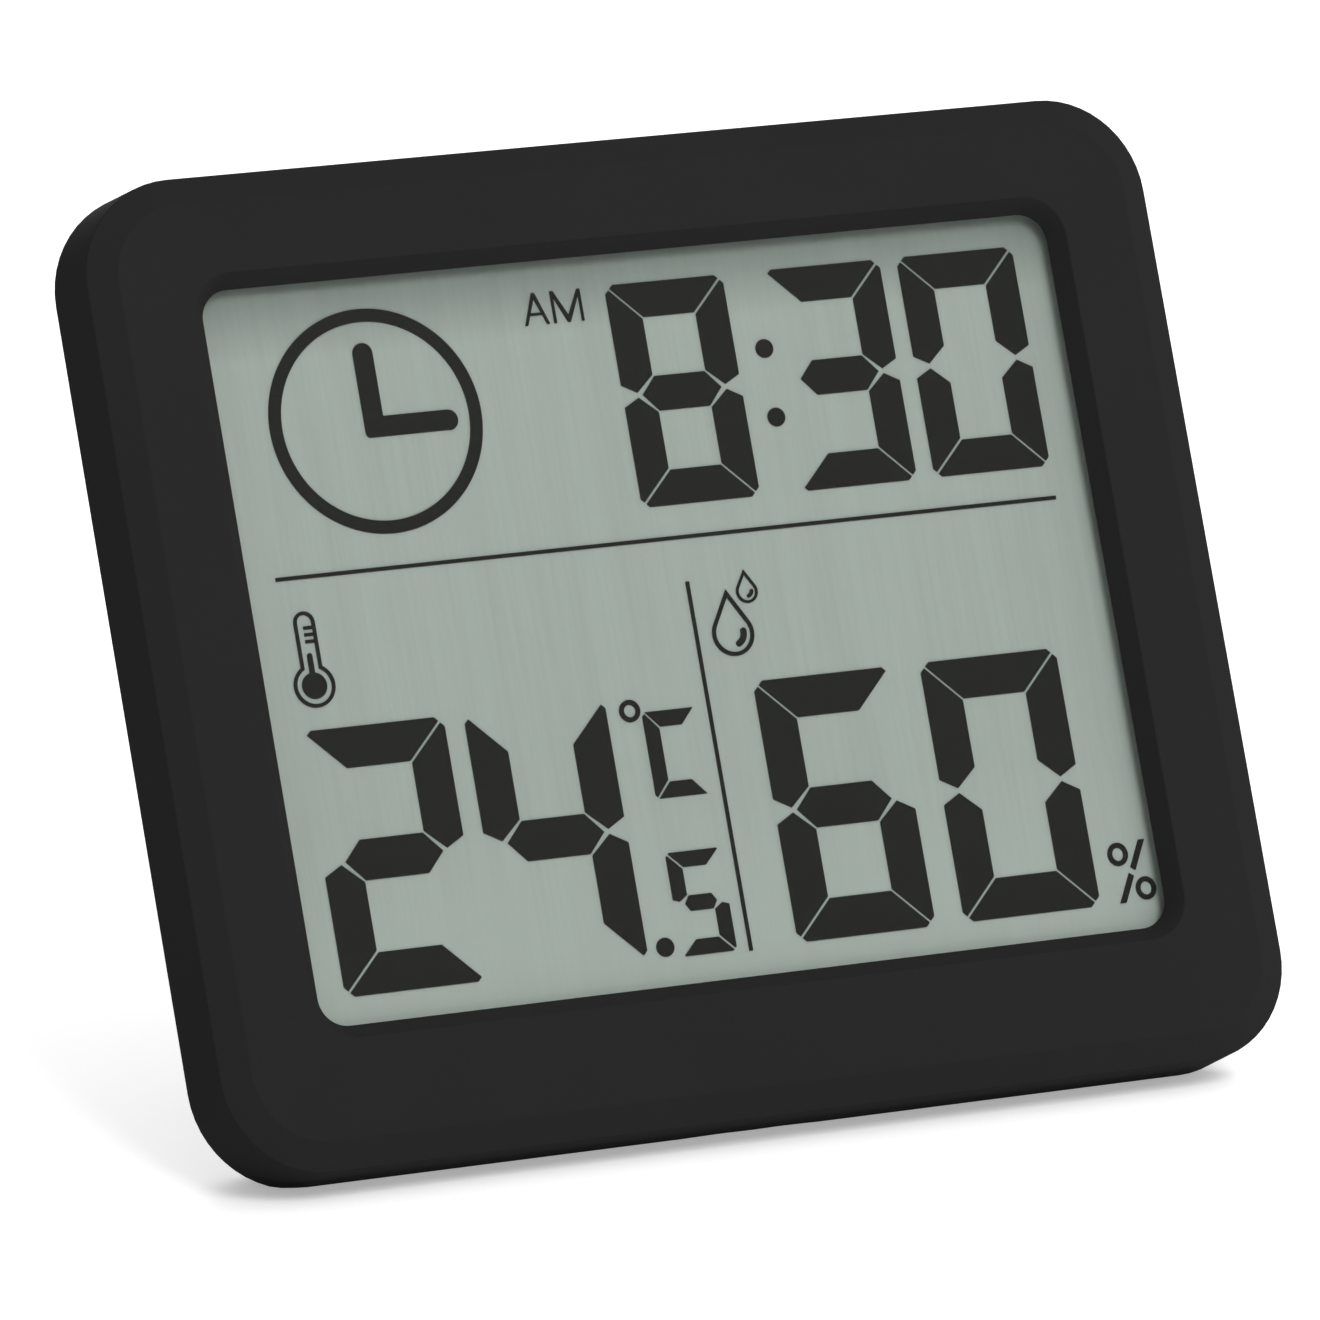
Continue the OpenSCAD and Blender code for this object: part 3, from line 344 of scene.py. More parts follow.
def finish(name, shader_inputs, colours=None, cloud=8.0, rough=None, grain=(0.15, 0.15, 0.15), relief=0.0,
           edge=0.0, extra=None):
    """A material on one Principled shader. colours are two ends that drift over clouds of that many
    millimetres, rough is the least and most roughness over the grain, relief is the bump's height in
    millimetres, and edge is how far an edge looks rounded. extra may add to the tree before the end."""
    material = bpy.data.materials.new(name)
    material.use_nodes = True
    tree = material.node_tree
    tree.nodes.clear()
    inputs = dict(shader_inputs)
    grains = add_node(tree, "ShaderNodeTexNoise",
                      {"Vector": flat_vector(tree, grain), "Scale": 1.0, "Detail": 3.0})
    if colours:
        clouds = add_node(tree, "ShaderNodeTexNoise",
                          {"Vector": flat_vector(tree, (cloud,) * 3), "Scale": 1.0, "Detail": 4.0})
        inputs["Base Color"] = mixed(tree, clouds.outputs["Fac"], *colours)
    if rough:
        inputs["Roughness"] = add_node(
            tree, "ShaderNodeMapRange",
            {"Value": grains.outputs["Fac"], "To Min": rough[0], "To Max": rough[1]}).outputs["Result"]
    normal = None
    if edge:
        normal = add_node(tree, "ShaderNodeBevel", {"Radius": edge * MM}, samples=4).outputs["Normal"]
    if relief:
        bump = {"Height": grains.outputs["Fac"], "Distance": relief * MM, "Strength": 1.0}
        if normal:
            bump["Normal"] = normal
        normal = add_node(tree, "ShaderNodeBump", bump).outputs["Normal"]
    if normal:
        inputs["Normal"] = normal
    if extra:
        extra(tree, inputs)
    shader = add_node(tree, "ShaderNodeBsdfPrincipled", inputs)
    add_node(tree, "ShaderNodeOutputMaterial", {"Surface": shader.outputs[0]})
    return material


def mixed(tree, share, first, second):
    """The blend of two colours by a share."""
    node = add_node(tree, "ShaderNodeMix", data_type="RGBA")
    for socket, value in ((node.inputs[0], share), (node.inputs[6], first), (node.inputs[7], second)):
        if isinstance(value, bpy.types.NodeSocket):
            tree.links.new(value, socket)
        else:
            socket.default_value = value
    return node.outputs[2]


def shade(colour_value, factor):
    """A linear colour made lighter or darker by a factor."""
    return (*[min(1.0, c * factor) for c in colour_value[:3]], 1.0)


def moulded_abs(name, colour_value, rough=(0.68, 0.8), edge=0.15, relief=0.004, gloss=0.005):
    """ABS from a spark-eroded mould: an even black with a fine grain that breaks up its gloss, which is
    the specular level."""
    return finish(name, {"IOR": 1.53, "Specular IOR Level": gloss},
                  colours=(shade(colour_value, 0.94), shade(colour_value, 1.06)), cloud=14.0,
                  rough=rough, grain=(0.16, 0.16, 0.16), relief=relief, edge=edge)


def bare_metal(name, low, high, rough, grain=(0.08, 0.08, 0.08), relief=0.001, edge=0.05):
    """Plated or stamped metal: its colour drifts a little between two hex values, and fine marks break
    up its shine."""
    return finish(name, {"Metallic": 1.0}, colours=(linear(low), linear(high)), cloud=3.0, rough=rough,
                  grain=grain, relief=relief, edge=edge)


def set_finish(node, material):
    """Gives a CAD node its finish."""
    for slot in frame["nodes"][node].material_slots:
        slot.material = material


# Operators

class THERMO_OT_front_casing(bpy.types.Operator):
    """Front casing: the chamfered face, the bevelled window and the side wall, swept as one closed frame"""

    bl_idname = "thermo.front_casing"
    bl_label = "Front Casing"

    def execute(self, context):
        s = context.scene.thermo_casing
        # Radii of the rear rim, the chamfer's edge at the wall, its edge at the face, and the bevel's
        # edges at the face and at the glass
        rim_r, wall_r, face_r, bevel_r, glass_r = 0.12, 0.15, 0.3, 0.15, 0.03
        # The wall is already this far out where the chamfer ends
        start_out = 0.05
        # Flat strips of the face beside the chamfer and beside the bevel, and of the lip over the glass
        face_strip, bevel_strip, lip = 1.0, 0.6, 0.3
        outer = filleted([(s.wall, SIDE_D), (-s.draft, SIDE_D), (-start_out, s.chamfer_deep),
                          (s.chamfer_run, 0), (s.chamfer_run + face_strip, 0)], (rim_r, wall_r, face_r))
        # One more ring where the leaning foot meets the floor. It comes after the first point and the
        # rim's six
        facet, rim_points = 0.65, 7
        meet = SIDE_D - facet
        lean_out = s.draft * (meet - s.chamfer_deep) / (SIDE_D - s.chamfer_deep)
        outer = np.insert(outer, rim_points, (-lean_out, meet), axis=0)
        inner = filleted([(s.bevel_run + bevel_strip, 0), (s.bevel_run, 0), (0, GLASS_FRONT),
                          (lip, GLASS_FRONT)], (bevel_r, glass_r))
        # Places along the foot, a little past both ends of the notch
        reach, foot_points = 0.62 * s.notch_chord, 42
        foot_x = np.linspace(-reach, reach, foot_points)
        rings = [rounded_ring(BODY_W - 2 * t, BODY_H - 2 * t, s.corner - t, MID, d, foot_x) for t, d in outer]
        window = MID + s.window_up
        rings += [rounded_ring(s.window_w + 2 * t, s.window_h + 2 * t, s.window_r + t, window, d, foot_x)
                  for t, d in inner]
        glass_low, glass_high = flat_box("front_glass")
        room, pocket_r = 0.2, 0.3
        pocket = (2 * (glass_high[0] + room), glass_high[1] - glass_low[1] + 2 * room, pocket_r,
                  (glass_high[1] + glass_low[1]) / 2)
        rings += [rounded_ring(*pocket, d, foot_x) for d in (GLASS_FRONT, s.front)]
        within = (BODY_W - 2 * s.wall, BODY_H - 2 * s.wall, s.corner - s.wall, MID)
        rings.append(rounded_ring(*within, s.front, foot_x))
        grid = np.stack(rings)
        grid[..., 2] -= self.notch(grid, s)
        # Nothing of it goes below the floor, so the foot ends in a narrow facet that rests on it
        floor_y = -(grid[..., 2] + ORIGIN[2]) * DEEP[2] / UP[2] - ORIGIN[1]
        grid[..., 1] = np.maximum(grid[..., 1], floor_y)
        faces = grid_faces(*grid.shape[:2], True, True)
        # Dead matt ABS from a spark-eroded mould: an even black that hardly shines, even at its edges
        material = moulded_abs("spark_textured_abs_front", s.id_data.thermo_finishes.casing, edge=0)
        casing = add_piece("front_casing_shell", [(grid.reshape(-1, 3), faces)], material)
        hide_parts("front_casing")
        self.posts(s, material)
        return {"FINISHED"}

    def notch(self, grid, s):
        """How far each point of the foot's rear edge moves forward: a circle through the notch's chord
        and rise gives the rise less the circle's sagitta at that x."""
        inside, band = 0.1, 1.0
        radius = (s.notch_chord ** 2 / 4 + s.notch_rise ** 2) / (2 * s.notch_rise)
        sagitta = radius - np.sqrt(np.maximum(radius ** 2 - grid[..., 0] ** 2, 0))
        at_rear = (grid[..., 1] < s.wall + inside) & (grid[..., 2] > SIDE_D - band)
        return np.where(at_rear, np.maximum(s.notch_rise - sagitta, 0), 0)

    def posts(self, s, material):
        """Screw posts inside the casing, turned as tubes round the case screws and the board screws."""
        gap, bore_floor, root = 0.15, 2.7, s.front - 0.05
        board = flat_box("circuit_board")[0][2]
        shells = []
        # Each kind of screw with the radii of its head, its bore and its post, and where the post ends
        for screws, head, bore, post, end in (("case_screws", 1.7, 0.85, 1.7, SIDE_D - gap),
                                              ("board_screws", 1.3, 0.62, 1.5, board)):
            low, high = flat_box(screws)
            tube = [(0, bore_floor), (bore, bore_floor), (bore, end), (post, end), (post, root), (0, root)]
            for x in (low[0] + head, high[0] - head):
                for y in sorted({round(low[1] + head, 3), round(high[1] - head, 3)}):
                    shells.append(lathe(tube, (x, y), 32))
        add_piece("front_casing_posts", shells, material)


class THERMO_OT_display(bpy.types.Operator):
    """Display: polariser and glass in the window, the segments, and the grey-green ground behind them"""

    bl_idname = "thermo.display"
    bl_label = "Display"

    def execute(self, context):
        colours = context.scene.thermo_finishes
        # Polariser film with a fine anti-glare coat: a soft sheen, and a faint green veil over the ground.
        # Film and glass are one clear shape, because the renderer passes light through few faces
        film = finish("antiglare_polariser_film",
                      {"Base Color": linear("#3A423B"), "Alpha": 0.05, "IOR": 1.49, "Specular IOR Level": 0.3},
                      rough=(0.32, 0.42), grain=(0.06, 0.06, 0.06))
        film_low, film_high = flat_box("front_polariser")
        glass_low, glass_high = flat_box("front_glass")
        film_r, glass_r = 0.5, 0.2
        # The front lies a hair behind the casing's lip, and the back a hair before the segments
        front, step, back = film_low[2] + 0.005, film_high[2], glass_high[2] - 0.02
        foot_x = np.array([-1.0, 1.0])
        rings = []
        for (low, high), radius, depth in (((film_low, film_high), film_r, front),
                                           ((film_low, film_high), film_r, step),
                                           ((glass_low, glass_high), glass_r, step),
                                           ((glass_low, glass_high), glass_r, back)):
            extent = high - low
            rings.append(rounded_ring(extent[0], extent[1], radius, (high[1] + low[1]) / 2, depth, foot_x, 5))
        count = len(rings[0])
        faces = grid_faces(len(rings), count, False, True)
        faces += [list(range(count))[::-1], list(range(3 * count, 4 * count))]
        window = add_piece("display_window", [(np.concatenate(rings), faces)], film)
        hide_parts("front_polariser", "front_glass")
        # Brushed reflector film behind the rear glass: a dull grey-green with fine upright streaks, with
        # painted shade near the window's top edge and painted light towards its foot
        ground = finish("brushed_reflector_ground", {"IOR": 1.49, "Specular IOR Level": 0.2, "Roughness": 0.7},
                        extra=lambda tree, inputs: self.streaks(tree, inputs, colours.ground))
        set_finish("rear_glass", ground)
        set_finish("rear_polariser", ground)
        # Epoxy with glass spacers: a grey line, a little cloudy
        set_finish("display_seal", finish("epoxy_seal", {"IOR": 1.55}, rough=(0.4, 0.6), relief=0.002,
                                          colours=(linear("#858C86"), linear("#979E98"))))
        segments = self.segment_finish(colours)
        for node in ("time_digits", "temperature_digits", "humidity_digits", "display_rules"):
            set_finish(node, segments)
        return {"FINISHED"}

    def streaks(self, tree, inputs, ground):
        """Upright streaks of 0.3 mm, and broader ones, over the ground's own colour. Towards the window's top
        edge a painted shade dims the ground over 5 mm, in place of the casing's shadow on the deep reflector,
        and a painted light makes it a little lighter over the last 13 mm to the foot."""
        fine = add_node(tree, "ShaderNodeTexNoise",
                        {"Vector": flat_vector(tree, (0.3, 1.0, 12.0)), "Scale": 1.0, "Detail": 2.0})
        broad = add_node(tree, "ShaderNodeTexNoise",
                         {"Vector": flat_vector(tree, (2.2, 1.0, 40.0)), "Scale": 1.0, "Detail": 1.0})
        both = add_node(tree, "ShaderNodeMath", {0: fine.outputs["Fac"], 1: broad.outputs["Fac"]},
                        operation="ADD")
        share = add_node(tree, "ShaderNodeMapRange",
                         {"Value": both.outputs[0], "From Min": 0.6, "From Max": 1.4}).outputs["Result"]
        streaked = mixed(tree, share, shade(ground, 0.95), shade(ground, 1.05))
        hidden = 0.65
        top = flat_box("front_polariser")[1][1] - hidden + ORIGIN[1]
        up = add_node(tree, "ShaderNodeSeparateXYZ", {"Vector": flat_vector(tree)}).outputs["Z"]
        # Painted shade towards the top edge and painted light towards the foot, each reaching at most this
        # share
        most = 0.4
        painted_top_shade, painted_foot_light = (
            add_node(tree, "ShaderNodeMapRange", {"Value": up, "From Min": top - start, "From Max": top - end,
                                                  "To Max": most}).outputs["Result"]
            for start, end in ((5.0, 0.4), (38.0, 51.0)))
        # Painted light: near the foot the ground blends towards a lighter copy of itself
        lighter = mixed(tree, painted_foot_light, streaked, shade(ground, 1.28))
        # Painted shade: near the window's top edge the ground blends towards black
        inputs["Base Color"] = mixed(tree, painted_top_shade, lighter, (0.0, 0.0, 0.0, 1.0))

    @staticmethod
    def segment_finish(colours):
        """Liquid crystal that is switched on: near black, hardly shiny, with faint clouds of the fluid."""
        made = bpy.data.materials.get("switched_liquid_crystal")
        return made or finish("switched_liquid_crystal", {"IOR": 1.5, "Specular IOR Level": 0.1},
                              colours=(shade(colours.segments, 0.92), shade(colours.segments, 1.08)),
                              cloud=5.0, rough=(0.6, 0.75))


class THERMO_OT_signs(bpy.types.Operator):
    """Signs of the display: clock, AM, thermometer, drops, degrees and per cent, as closed flat shapes"""

    bl_idname = "thermo.signs"
    bl_label = "Signs"

    def execute(self, context):
        s = context.scene.thermo_signs
        material = THERMO_OT_display.segment_finish(context.scene.thermo_finishes)
        groups = {"clock_sign": self.clock(s), "morning_sign": self.morning(), "tube_sign": self.tube(s),
                  "drops_sign": self.drops(s), "degrees_sign": self.degrees(s),
                  "per_cent_sign": self.per_cent()}
        for name, shells in groups.items():
            add_piece(name, shells, material)
        return {"FINISHED"}

    def clock(self, s):
        """A ring, and two hands drawn as one L with round ends."""
        x, y = s.clock
        ring = stroke(arc((x, y), s.clock_r - s.clock_line / 2, 0, 357, 120), s.clock_line, closed=True)
        # The hands' half width, their middle lines, and where they end, all from the ring's middle
        half, left, low, high, right, under = 0.73, 0.15, 0.43, 5.465, 6.035, 1.12
        hand_x, hand_y = x - left, y - low
        tip_up, tip_right = y + high - half, x + right - half
        foot, soft = y - under, 0.35
        hands = plate(np.concatenate([
            arc((hand_x, tip_up), half, 180, 0, 17),
            [(hand_x + half, hand_y + half)],
            arc((tip_right, hand_y), half, 90, -90, 17),
            [(tip_right, foot)],
            arc((hand_x - half + soft, foot + soft), soft, 270, 180, 6),
        ]))
        return [ring, hands]

    def morning(self):
        """The letters A and M, thin and without serifs."""
        low, high, thin = 21.95, 24.21, 0.21
        a_left, a_right = -8.46, -6.60
        bar_half, bar_up, bar_line = 0.58, 0.76, 0.19
        top = (a_left + a_right) / 2
        leg = plate([(a_left, low), (top - thin / 2, high), (top + thin / 2, high), (a_right, low),
                     (a_right - thin, low), (top, high - 2 * thin), (a_left + thin, low)])
        bar = stroke([(top - bar_half, low + bar_up), (top + bar_half, low + bar_up)], bar_line)
        left, right, thin = -6.26, -3.99, 0.19
        crown, crotch, shoulder, dip_half = 1.2 * thin, 0.5, 0.45, 0.09
        dip = (left + right) / 2
        letter_m = plate([(left, low), (left, high), (left + crown, high), (dip, low + crotch),
                          (right - crown, high), (right, high), (right, low), (right - thin, low),
                          (right - thin, high - shoulder), (dip + dip_half, low), (dip - dip_half, low),
                          (left + thin, high - shoulder), (left + thin, low)])
        return [leg, bar, letter_m]

    def tube(self, s):
        """A thermometer: an outline of bulb and tube, the filled bulb with its column, and three marks."""
        x, bulb_y, top, tube_r, bulb_r = -28.39, -1.26, 3.89, 0.78, 1.51
        half, bulb = tube_r - s.tube_line / 2, bulb_r - s.tube_line / 2
        meet = math.degrees(math.asin(half / bulb))
        outline = np.concatenate([arc((x, bulb_y), bulb, 90 - meet, -270 + meet, 48),
                                  arc((x, top - tube_r), half, 180, 0, 20)])
        fill, column, level = 0.91, 0.19, 1.0
        narrow = math.degrees(math.asin(column / fill))
        filled = np.concatenate([arc((x, bulb_y), fill, 90 - narrow, -270 + narrow, 48),
                                 arc((x, level - column), column, 180, 0, 9)])
        mark_left, mark_right, mark_line = x - 0.12, x + 0.51, 0.23
        marks = [stroke([(mark_left, y), (mark_right, y)], mark_line) for y in (2.74, 2.27, 1.80)]
        return [stroke(outline, s.tube_line, closed=True), plate(filled), *marks]

    def drop(self, centre, radius, tip, line):
        """A drop's outline: an arc joined to the tip by its two tangents. A tangent leaves the circle
        at the angle from the upright whose cosine is the radius over the tip's distance."""
        away = np.asarray(tip) - centre
        lean = math.degrees(math.atan2(away[1], away[0]))
        spread = math.degrees(math.acos(radius / np.linalg.norm(away)))
        round_part = arc(centre, radius, lean - spread, lean - 360 + spread, 44)
        return stroke(np.concatenate([[tip], round_part]), line, closed=True)

    def gleam(self, centre, radius, start, stop, width):
        """A bent bean inside a drop: two arcs, half the width outside and inside the radius, with a
        half circle round each end."""
        half = width / 2
        first, last = arc(centre, radius, start, stop, 2)
        return plate(np.concatenate([arc(centre, radius + half, start, stop, 12)[:-1],
                                     arc(last, half, stop, stop - 180, 9)[:-1],
                                     arc(centre, radius - half, stop, start, 12)[:-1],
                                     arc(first, half, start + 180, start, 9)[:-1]]))

    def drops(self, s):
        """A large drop and a small one, each with its gleam. A drop is given by its middle, radius and
        tip, and its gleam by a middle, a radius, the two angles between which it runs, and a width."""
        line, small_line = 0.28, 0.19
        return [self.drop((3.02, -0.83), s.large_drop - line / 2, (3.0, 2.0), line),
                self.gleam((2.98, -0.80), 0.83, 6, -64, 0.45),
                self.drop((4.585, 1.98), s.small_drop - small_line / 2, (4.58, 3.34), small_line),
                self.gleam((4.52, 2.06), 0.42, -10, -68, 0.26)]

    def degrees(self, s):
        """A small ring, and a C of three bars with light mitred gaps."""
        ring_at, ring_r, ring_line = (-5.67, -5.385), 0.61, 0.34
        ring = stroke(arc(ring_at, ring_r, 0, 350, 36), ring_line, closed=True)
        left, right, top, low, w, gap = -4.81, -0.875, -5.59, -11.635, s.unit_stroke, 0.13
        blunt, inset = 0.15, 0.1
        upright = [(left, top - gap - blunt), (left + blunt, top - gap), (left + w, top - w - gap),
                   (left + w, low + w + gap), (left + blunt, low + gap), (left, low + gap + blunt)]
        bars = [plate([(left + gap + inset, edge), (right - inset, edge), (right - w, edge + turn * w),
                       (left + w + gap, edge + turn * w)]) for edge, turn in ((top, -1), (low, 1))]
        return [ring, plate(upright), *bars]

    def per_cent(self):
        """Two small oval rings, and a slash with level ends that a slanting gap parts in two."""
        radii, ring_line = (0.6, 0.645), 0.35
        rings = [stroke(arc(centre, radii, 0, 350, 36), ring_line, closed=True)
                 for centre in ((29.08, -19.2), (30.79, -21.76))]
        # The slash's middle, how far it leans for each millimetre up, and half its width
        x, y, lean, half = 29.96, -20.49, 0.51, 0.235
        top, foot = -18.33, -22.63

        def edge(side, level):
            return x + lean * (level - y) + side * half, level

        slash = [plate([edge(-1, top), edge(1, top), edge(1, -20.42), edge(-1, -20.18)]),
                 plate([edge(-1, -20.58), edge(1, -20.82), edge(1, foot), edge(-1, foot)])]
        return rings + slash


class THERMO_OT_back(bpy.types.Operator):
    """Back: the moulded rear cover, the battery door and the kick stand"""

    bl_idname = "thermo.back"
    bl_label = "Back and Stand"

    def execute(self, context):
        cover = context.scene.thermo_finishes.cover
        # The same ABS with a finer spark texture: a dull black with a faint sheen on its slopes
        set_finish("rear_cover", moulded_abs("spark_textured_abs_back", cover, rough=(0.5, 0.62), gloss=0.2))
        # Satin ABS from a smoother mould than the cover's, so the door's and stand's edges catch more light
        for node, name in (("battery_door", "satin_abs_door"), ("kick_stand", "satin_abs_stand")):
            set_finish(node, moulded_abs(name, shade(cover, 1.15), rough=(0.38, 0.46), relief=0.002,
                                         gloss=0.27))
        return {"FINISHED"}


class THERMO_OT_buttons(bpy.types.Operator):
    """Buttons: three turned shapes with a dished cap and soft edges, and the plungers under them"""

    bl_idname = "thermo.buttons"
    bl_label = "Buttons"

    def execute(self, context):
        # Satin ABS that fingers keep smooth: a shade lighter than the cover, with a soft highlight
        material = moulded_abs("satin_abs_button", linear("#343434"), rough=(0.36, 0.44), relief=0.0015,
                               edge=0, gloss=0.27)
        cover_wall, running_gap = 1.5, 0.1
        under = flat_box("rear_cover")[1][2] - cover_wall - running_gap
        stem_r, flange_t, dish, rim = 1.2, 0.6, 0.2, 0.55
        # Radii of the profile's corners from the stem's foot round to the dish
        soft = (0.1, 0.15, 0.08, 0.08, 0.05, 0.3, 0.3)
        for place_name in ("top", "middle", "bottom"):
            node = f"button_{place_name}"
            low, high = flat_box(node)
            centre = (low + high)[:2] / 2
            flange_r = (high - low)[0] / 2
            cap_r = flange_r - 0.8
            near, face = low[2], high[2]
            profile = filleted([(0, near), (stem_r, near), (stem_r, under - flange_t),
                                (flange_r, under - flange_t), (flange_r, under), (cap_r, under), (cap_r, face),
                                (cap_r - rim, face), (0, face - dish)], soft, 4)
            button = add_piece(f"{place_name}_button_cap", [lathe(profile, centre, 56)], material,
                               body=f"{place_name}_button")
            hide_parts(node)
        # Moulded nylon of the plungers: dull black and slightly waxy
        nylon = finish("black_nylon_plunger", {"IOR": 1.53}, colours=(linear("#181818"), linear("#202020")),
                       rough=(0.35, 0.5), edge=0.05)
        for place_name in ("top", "middle", "bottom"):
            set_finish(f"plunger_{place_name}", nylon)
        return {"FINISHED"}


class THERMO_OT_electronics(bpy.types.Operator):
    """Electronics: board, controller, crystal, sensor, chips, switches, rubber strip and display holder"""

    bl_idname = "thermo.electronics"
    bl_label = "Electronics"

    def execute(self, context):
        # Natural polystyrene, moulded: milky and a little glossy
        set_finish("display_holder", finish("natural_polystyrene", {"IOR": 1.59, "Subsurface Weight": 0.1},
                                            colours=(linear("#D6D6CF"), linear("#E0E0DA")), rough=(0.35, 0.5),
                                            edge=0.1))
        # Silicone rubber in dark and pink layers. They are 0.18 mm apart, and drawn at 0.4 mm to show up
        set_finish("elastomer_connector", finish("striped_silicone_rubber",
                                                 {"IOR": 1.41, "Roughness": 0.6}, extra=self.rubber_stripes))
        # Glass-epoxy laminate under green solder mask: glossy dark green, with lighter lines over the tracks
        set_finish("circuit_board", finish("green_solder_mask", {"IOR": 1.5, "Roughness": 0.3}, edge=0.05,
                                           extra=self.tracks))
        # Epoxy dropped over the chip: deep black with a wet shine
        set_finish("controller_blob", finish("black_epoxy_drop", {"IOR": 1.56, "Coat Weight": 0.3},
                                             colours=(linear("#0E0E0F"), linear("#171718")), rough=(0.2, 0.35)))
        # Drawn nickel silver of the crystal's can: pale, with a soft shine
        set_finish("crystal", bare_metal("drawn_nickel_silver", "#B9BABB", "#CFD0D1", (0.25, 0.38)))
        # Moulded epoxy of the sensor: dark grey and dull
        set_finish("climate_sensor", finish("moulded_sensor_body", {"IOR": 1.55}, relief=0.002, edge=0.05,
                                            colours=(linear("#363638"), linear("#404042")), rough=(0.5, 0.65)))
        # Fired ceramic chips: small brown blocks that differ a little from each other
        set_finish("chip_parts", finish("fired_ceramic_chip", {"IOR": 1.6}, cloud=0.9, edge=0.04,
                                        colours=(linear("#5F4B38"), linear("#84705A")), rough=(0.4, 0.6)))
        # Stamped steel of the switches: grey with a dull shine
        set_finish("tact_switches", bare_metal("stamped_switch_steel", "#838486", "#9B9C9E", (0.32, 0.45)))
        return {"FINISHED"}

    def rubber_stripes(self, tree, inputs):
        """Bands across the strip: dark where the wave of 0.4 mm runs low."""
        # At this scale the texture's bands repeat about once a unit
        one_band = 2 / math.tau
        wave = add_node(tree, "ShaderNodeTexWave",
                        {"Vector": flat_vector(tree, (0.4, 1, 1)), "Scale": one_band}, bands_direction="X")
        sharp = add_node(tree, "ShaderNodeMapRange",
                         {"Value": wave.outputs["Fac"], "From Min": 0.4, "From Max": 0.6}).outputs["Result"]
        inputs["Base Color"] = mixed(tree, sharp, linear("#202022"), linear("#C98A9A"))

    def tracks(self, tree, inputs):
        """Tracks 0.25 mm wide between blocks of 1.9 by 1.27 mm, as the joints of a brick pattern."""
        brick = add_node(tree, "ShaderNodeTexBrick",
                         {"Vector": flat_vector(tree), "Scale": 1.0, "Brick Width": 1.9, "Row Height": 1.27,
                          "Mortar Size": 0.12, "Mortar Smooth": 0.1, "Color1": linear("#17472C"),
                          "Color2": linear("#1B4F32"), "Mortar": linear("#2C7348")})
        inputs["Base Color"] = brick.outputs["Color"]


class THERMO_OT_battery(bpy.types.Operator):
    """Battery: the coin cell's can, gasket and cap, and the two sprung contacts"""

    bl_idname = "thermo.battery"
    bl_label = "Battery"

    def execute(self, context):
        # Nickel on rolled steel: bright, with faint level streaks from the rolling
        set_finish("coin_cell_can", bare_metal("nickel_plated_cell_steel", "#BFC1C2", "#D2D4D5", (0.28, 0.42),
                                               grain=(1.6, 0.05, 0.05)))
        # The same steel left matt on the cap: paler and softer
        set_finish("coin_cell_cap", bare_metal("matt_cell_cap_steel", "#B2B4B6", "#C4C6C8", (0.38, 0.52)))
        # Moulded polypropylene: a milky ring with little shine
        set_finish("coin_cell_gasket", finish("polypropylene_gasket", {"IOR": 1.49, "Subsurface Weight": 0.1},
                                              colours=(linear("#DDDDD6"), linear("#E8E8E2")),
                                              rough=(0.4, 0.55)))
        # Nickel-plated spring steel: the brightest metal here, with fine marks along the strip
        spring = bare_metal("nickel_plated_spring_steel", "#C2C4C4", "#D6D8D8", (0.22, 0.36),
                            grain=(0.05, 0.05, 1.2))
        set_finish("negative_contact", spring)
        set_finish("positive_contact", spring)
        return {"FINISHED"}


class THERMO_OT_screws(bpy.types.Operator):
    """Screws: blackened case screws and bright board screws"""

    bl_idname = "thermo.screws"
    bl_label = "Screws"

    def execute(self, context):
        # Zinc with a black passivation: a dark metal with a soft shine
        set_finish("case_screws", bare_metal("black_zinc_screw", "#54565A", "#6E7074", (0.3, 0.45),
                                             relief=0.002))
        # Bright zinc of the board's screws: pale and a little cloudy
        set_finish("board_screws", bare_metal("bright_zinc_screw", "#ABADB0", "#C2C4C7", (0.25, 0.4)))
        return {"FINISHED"}


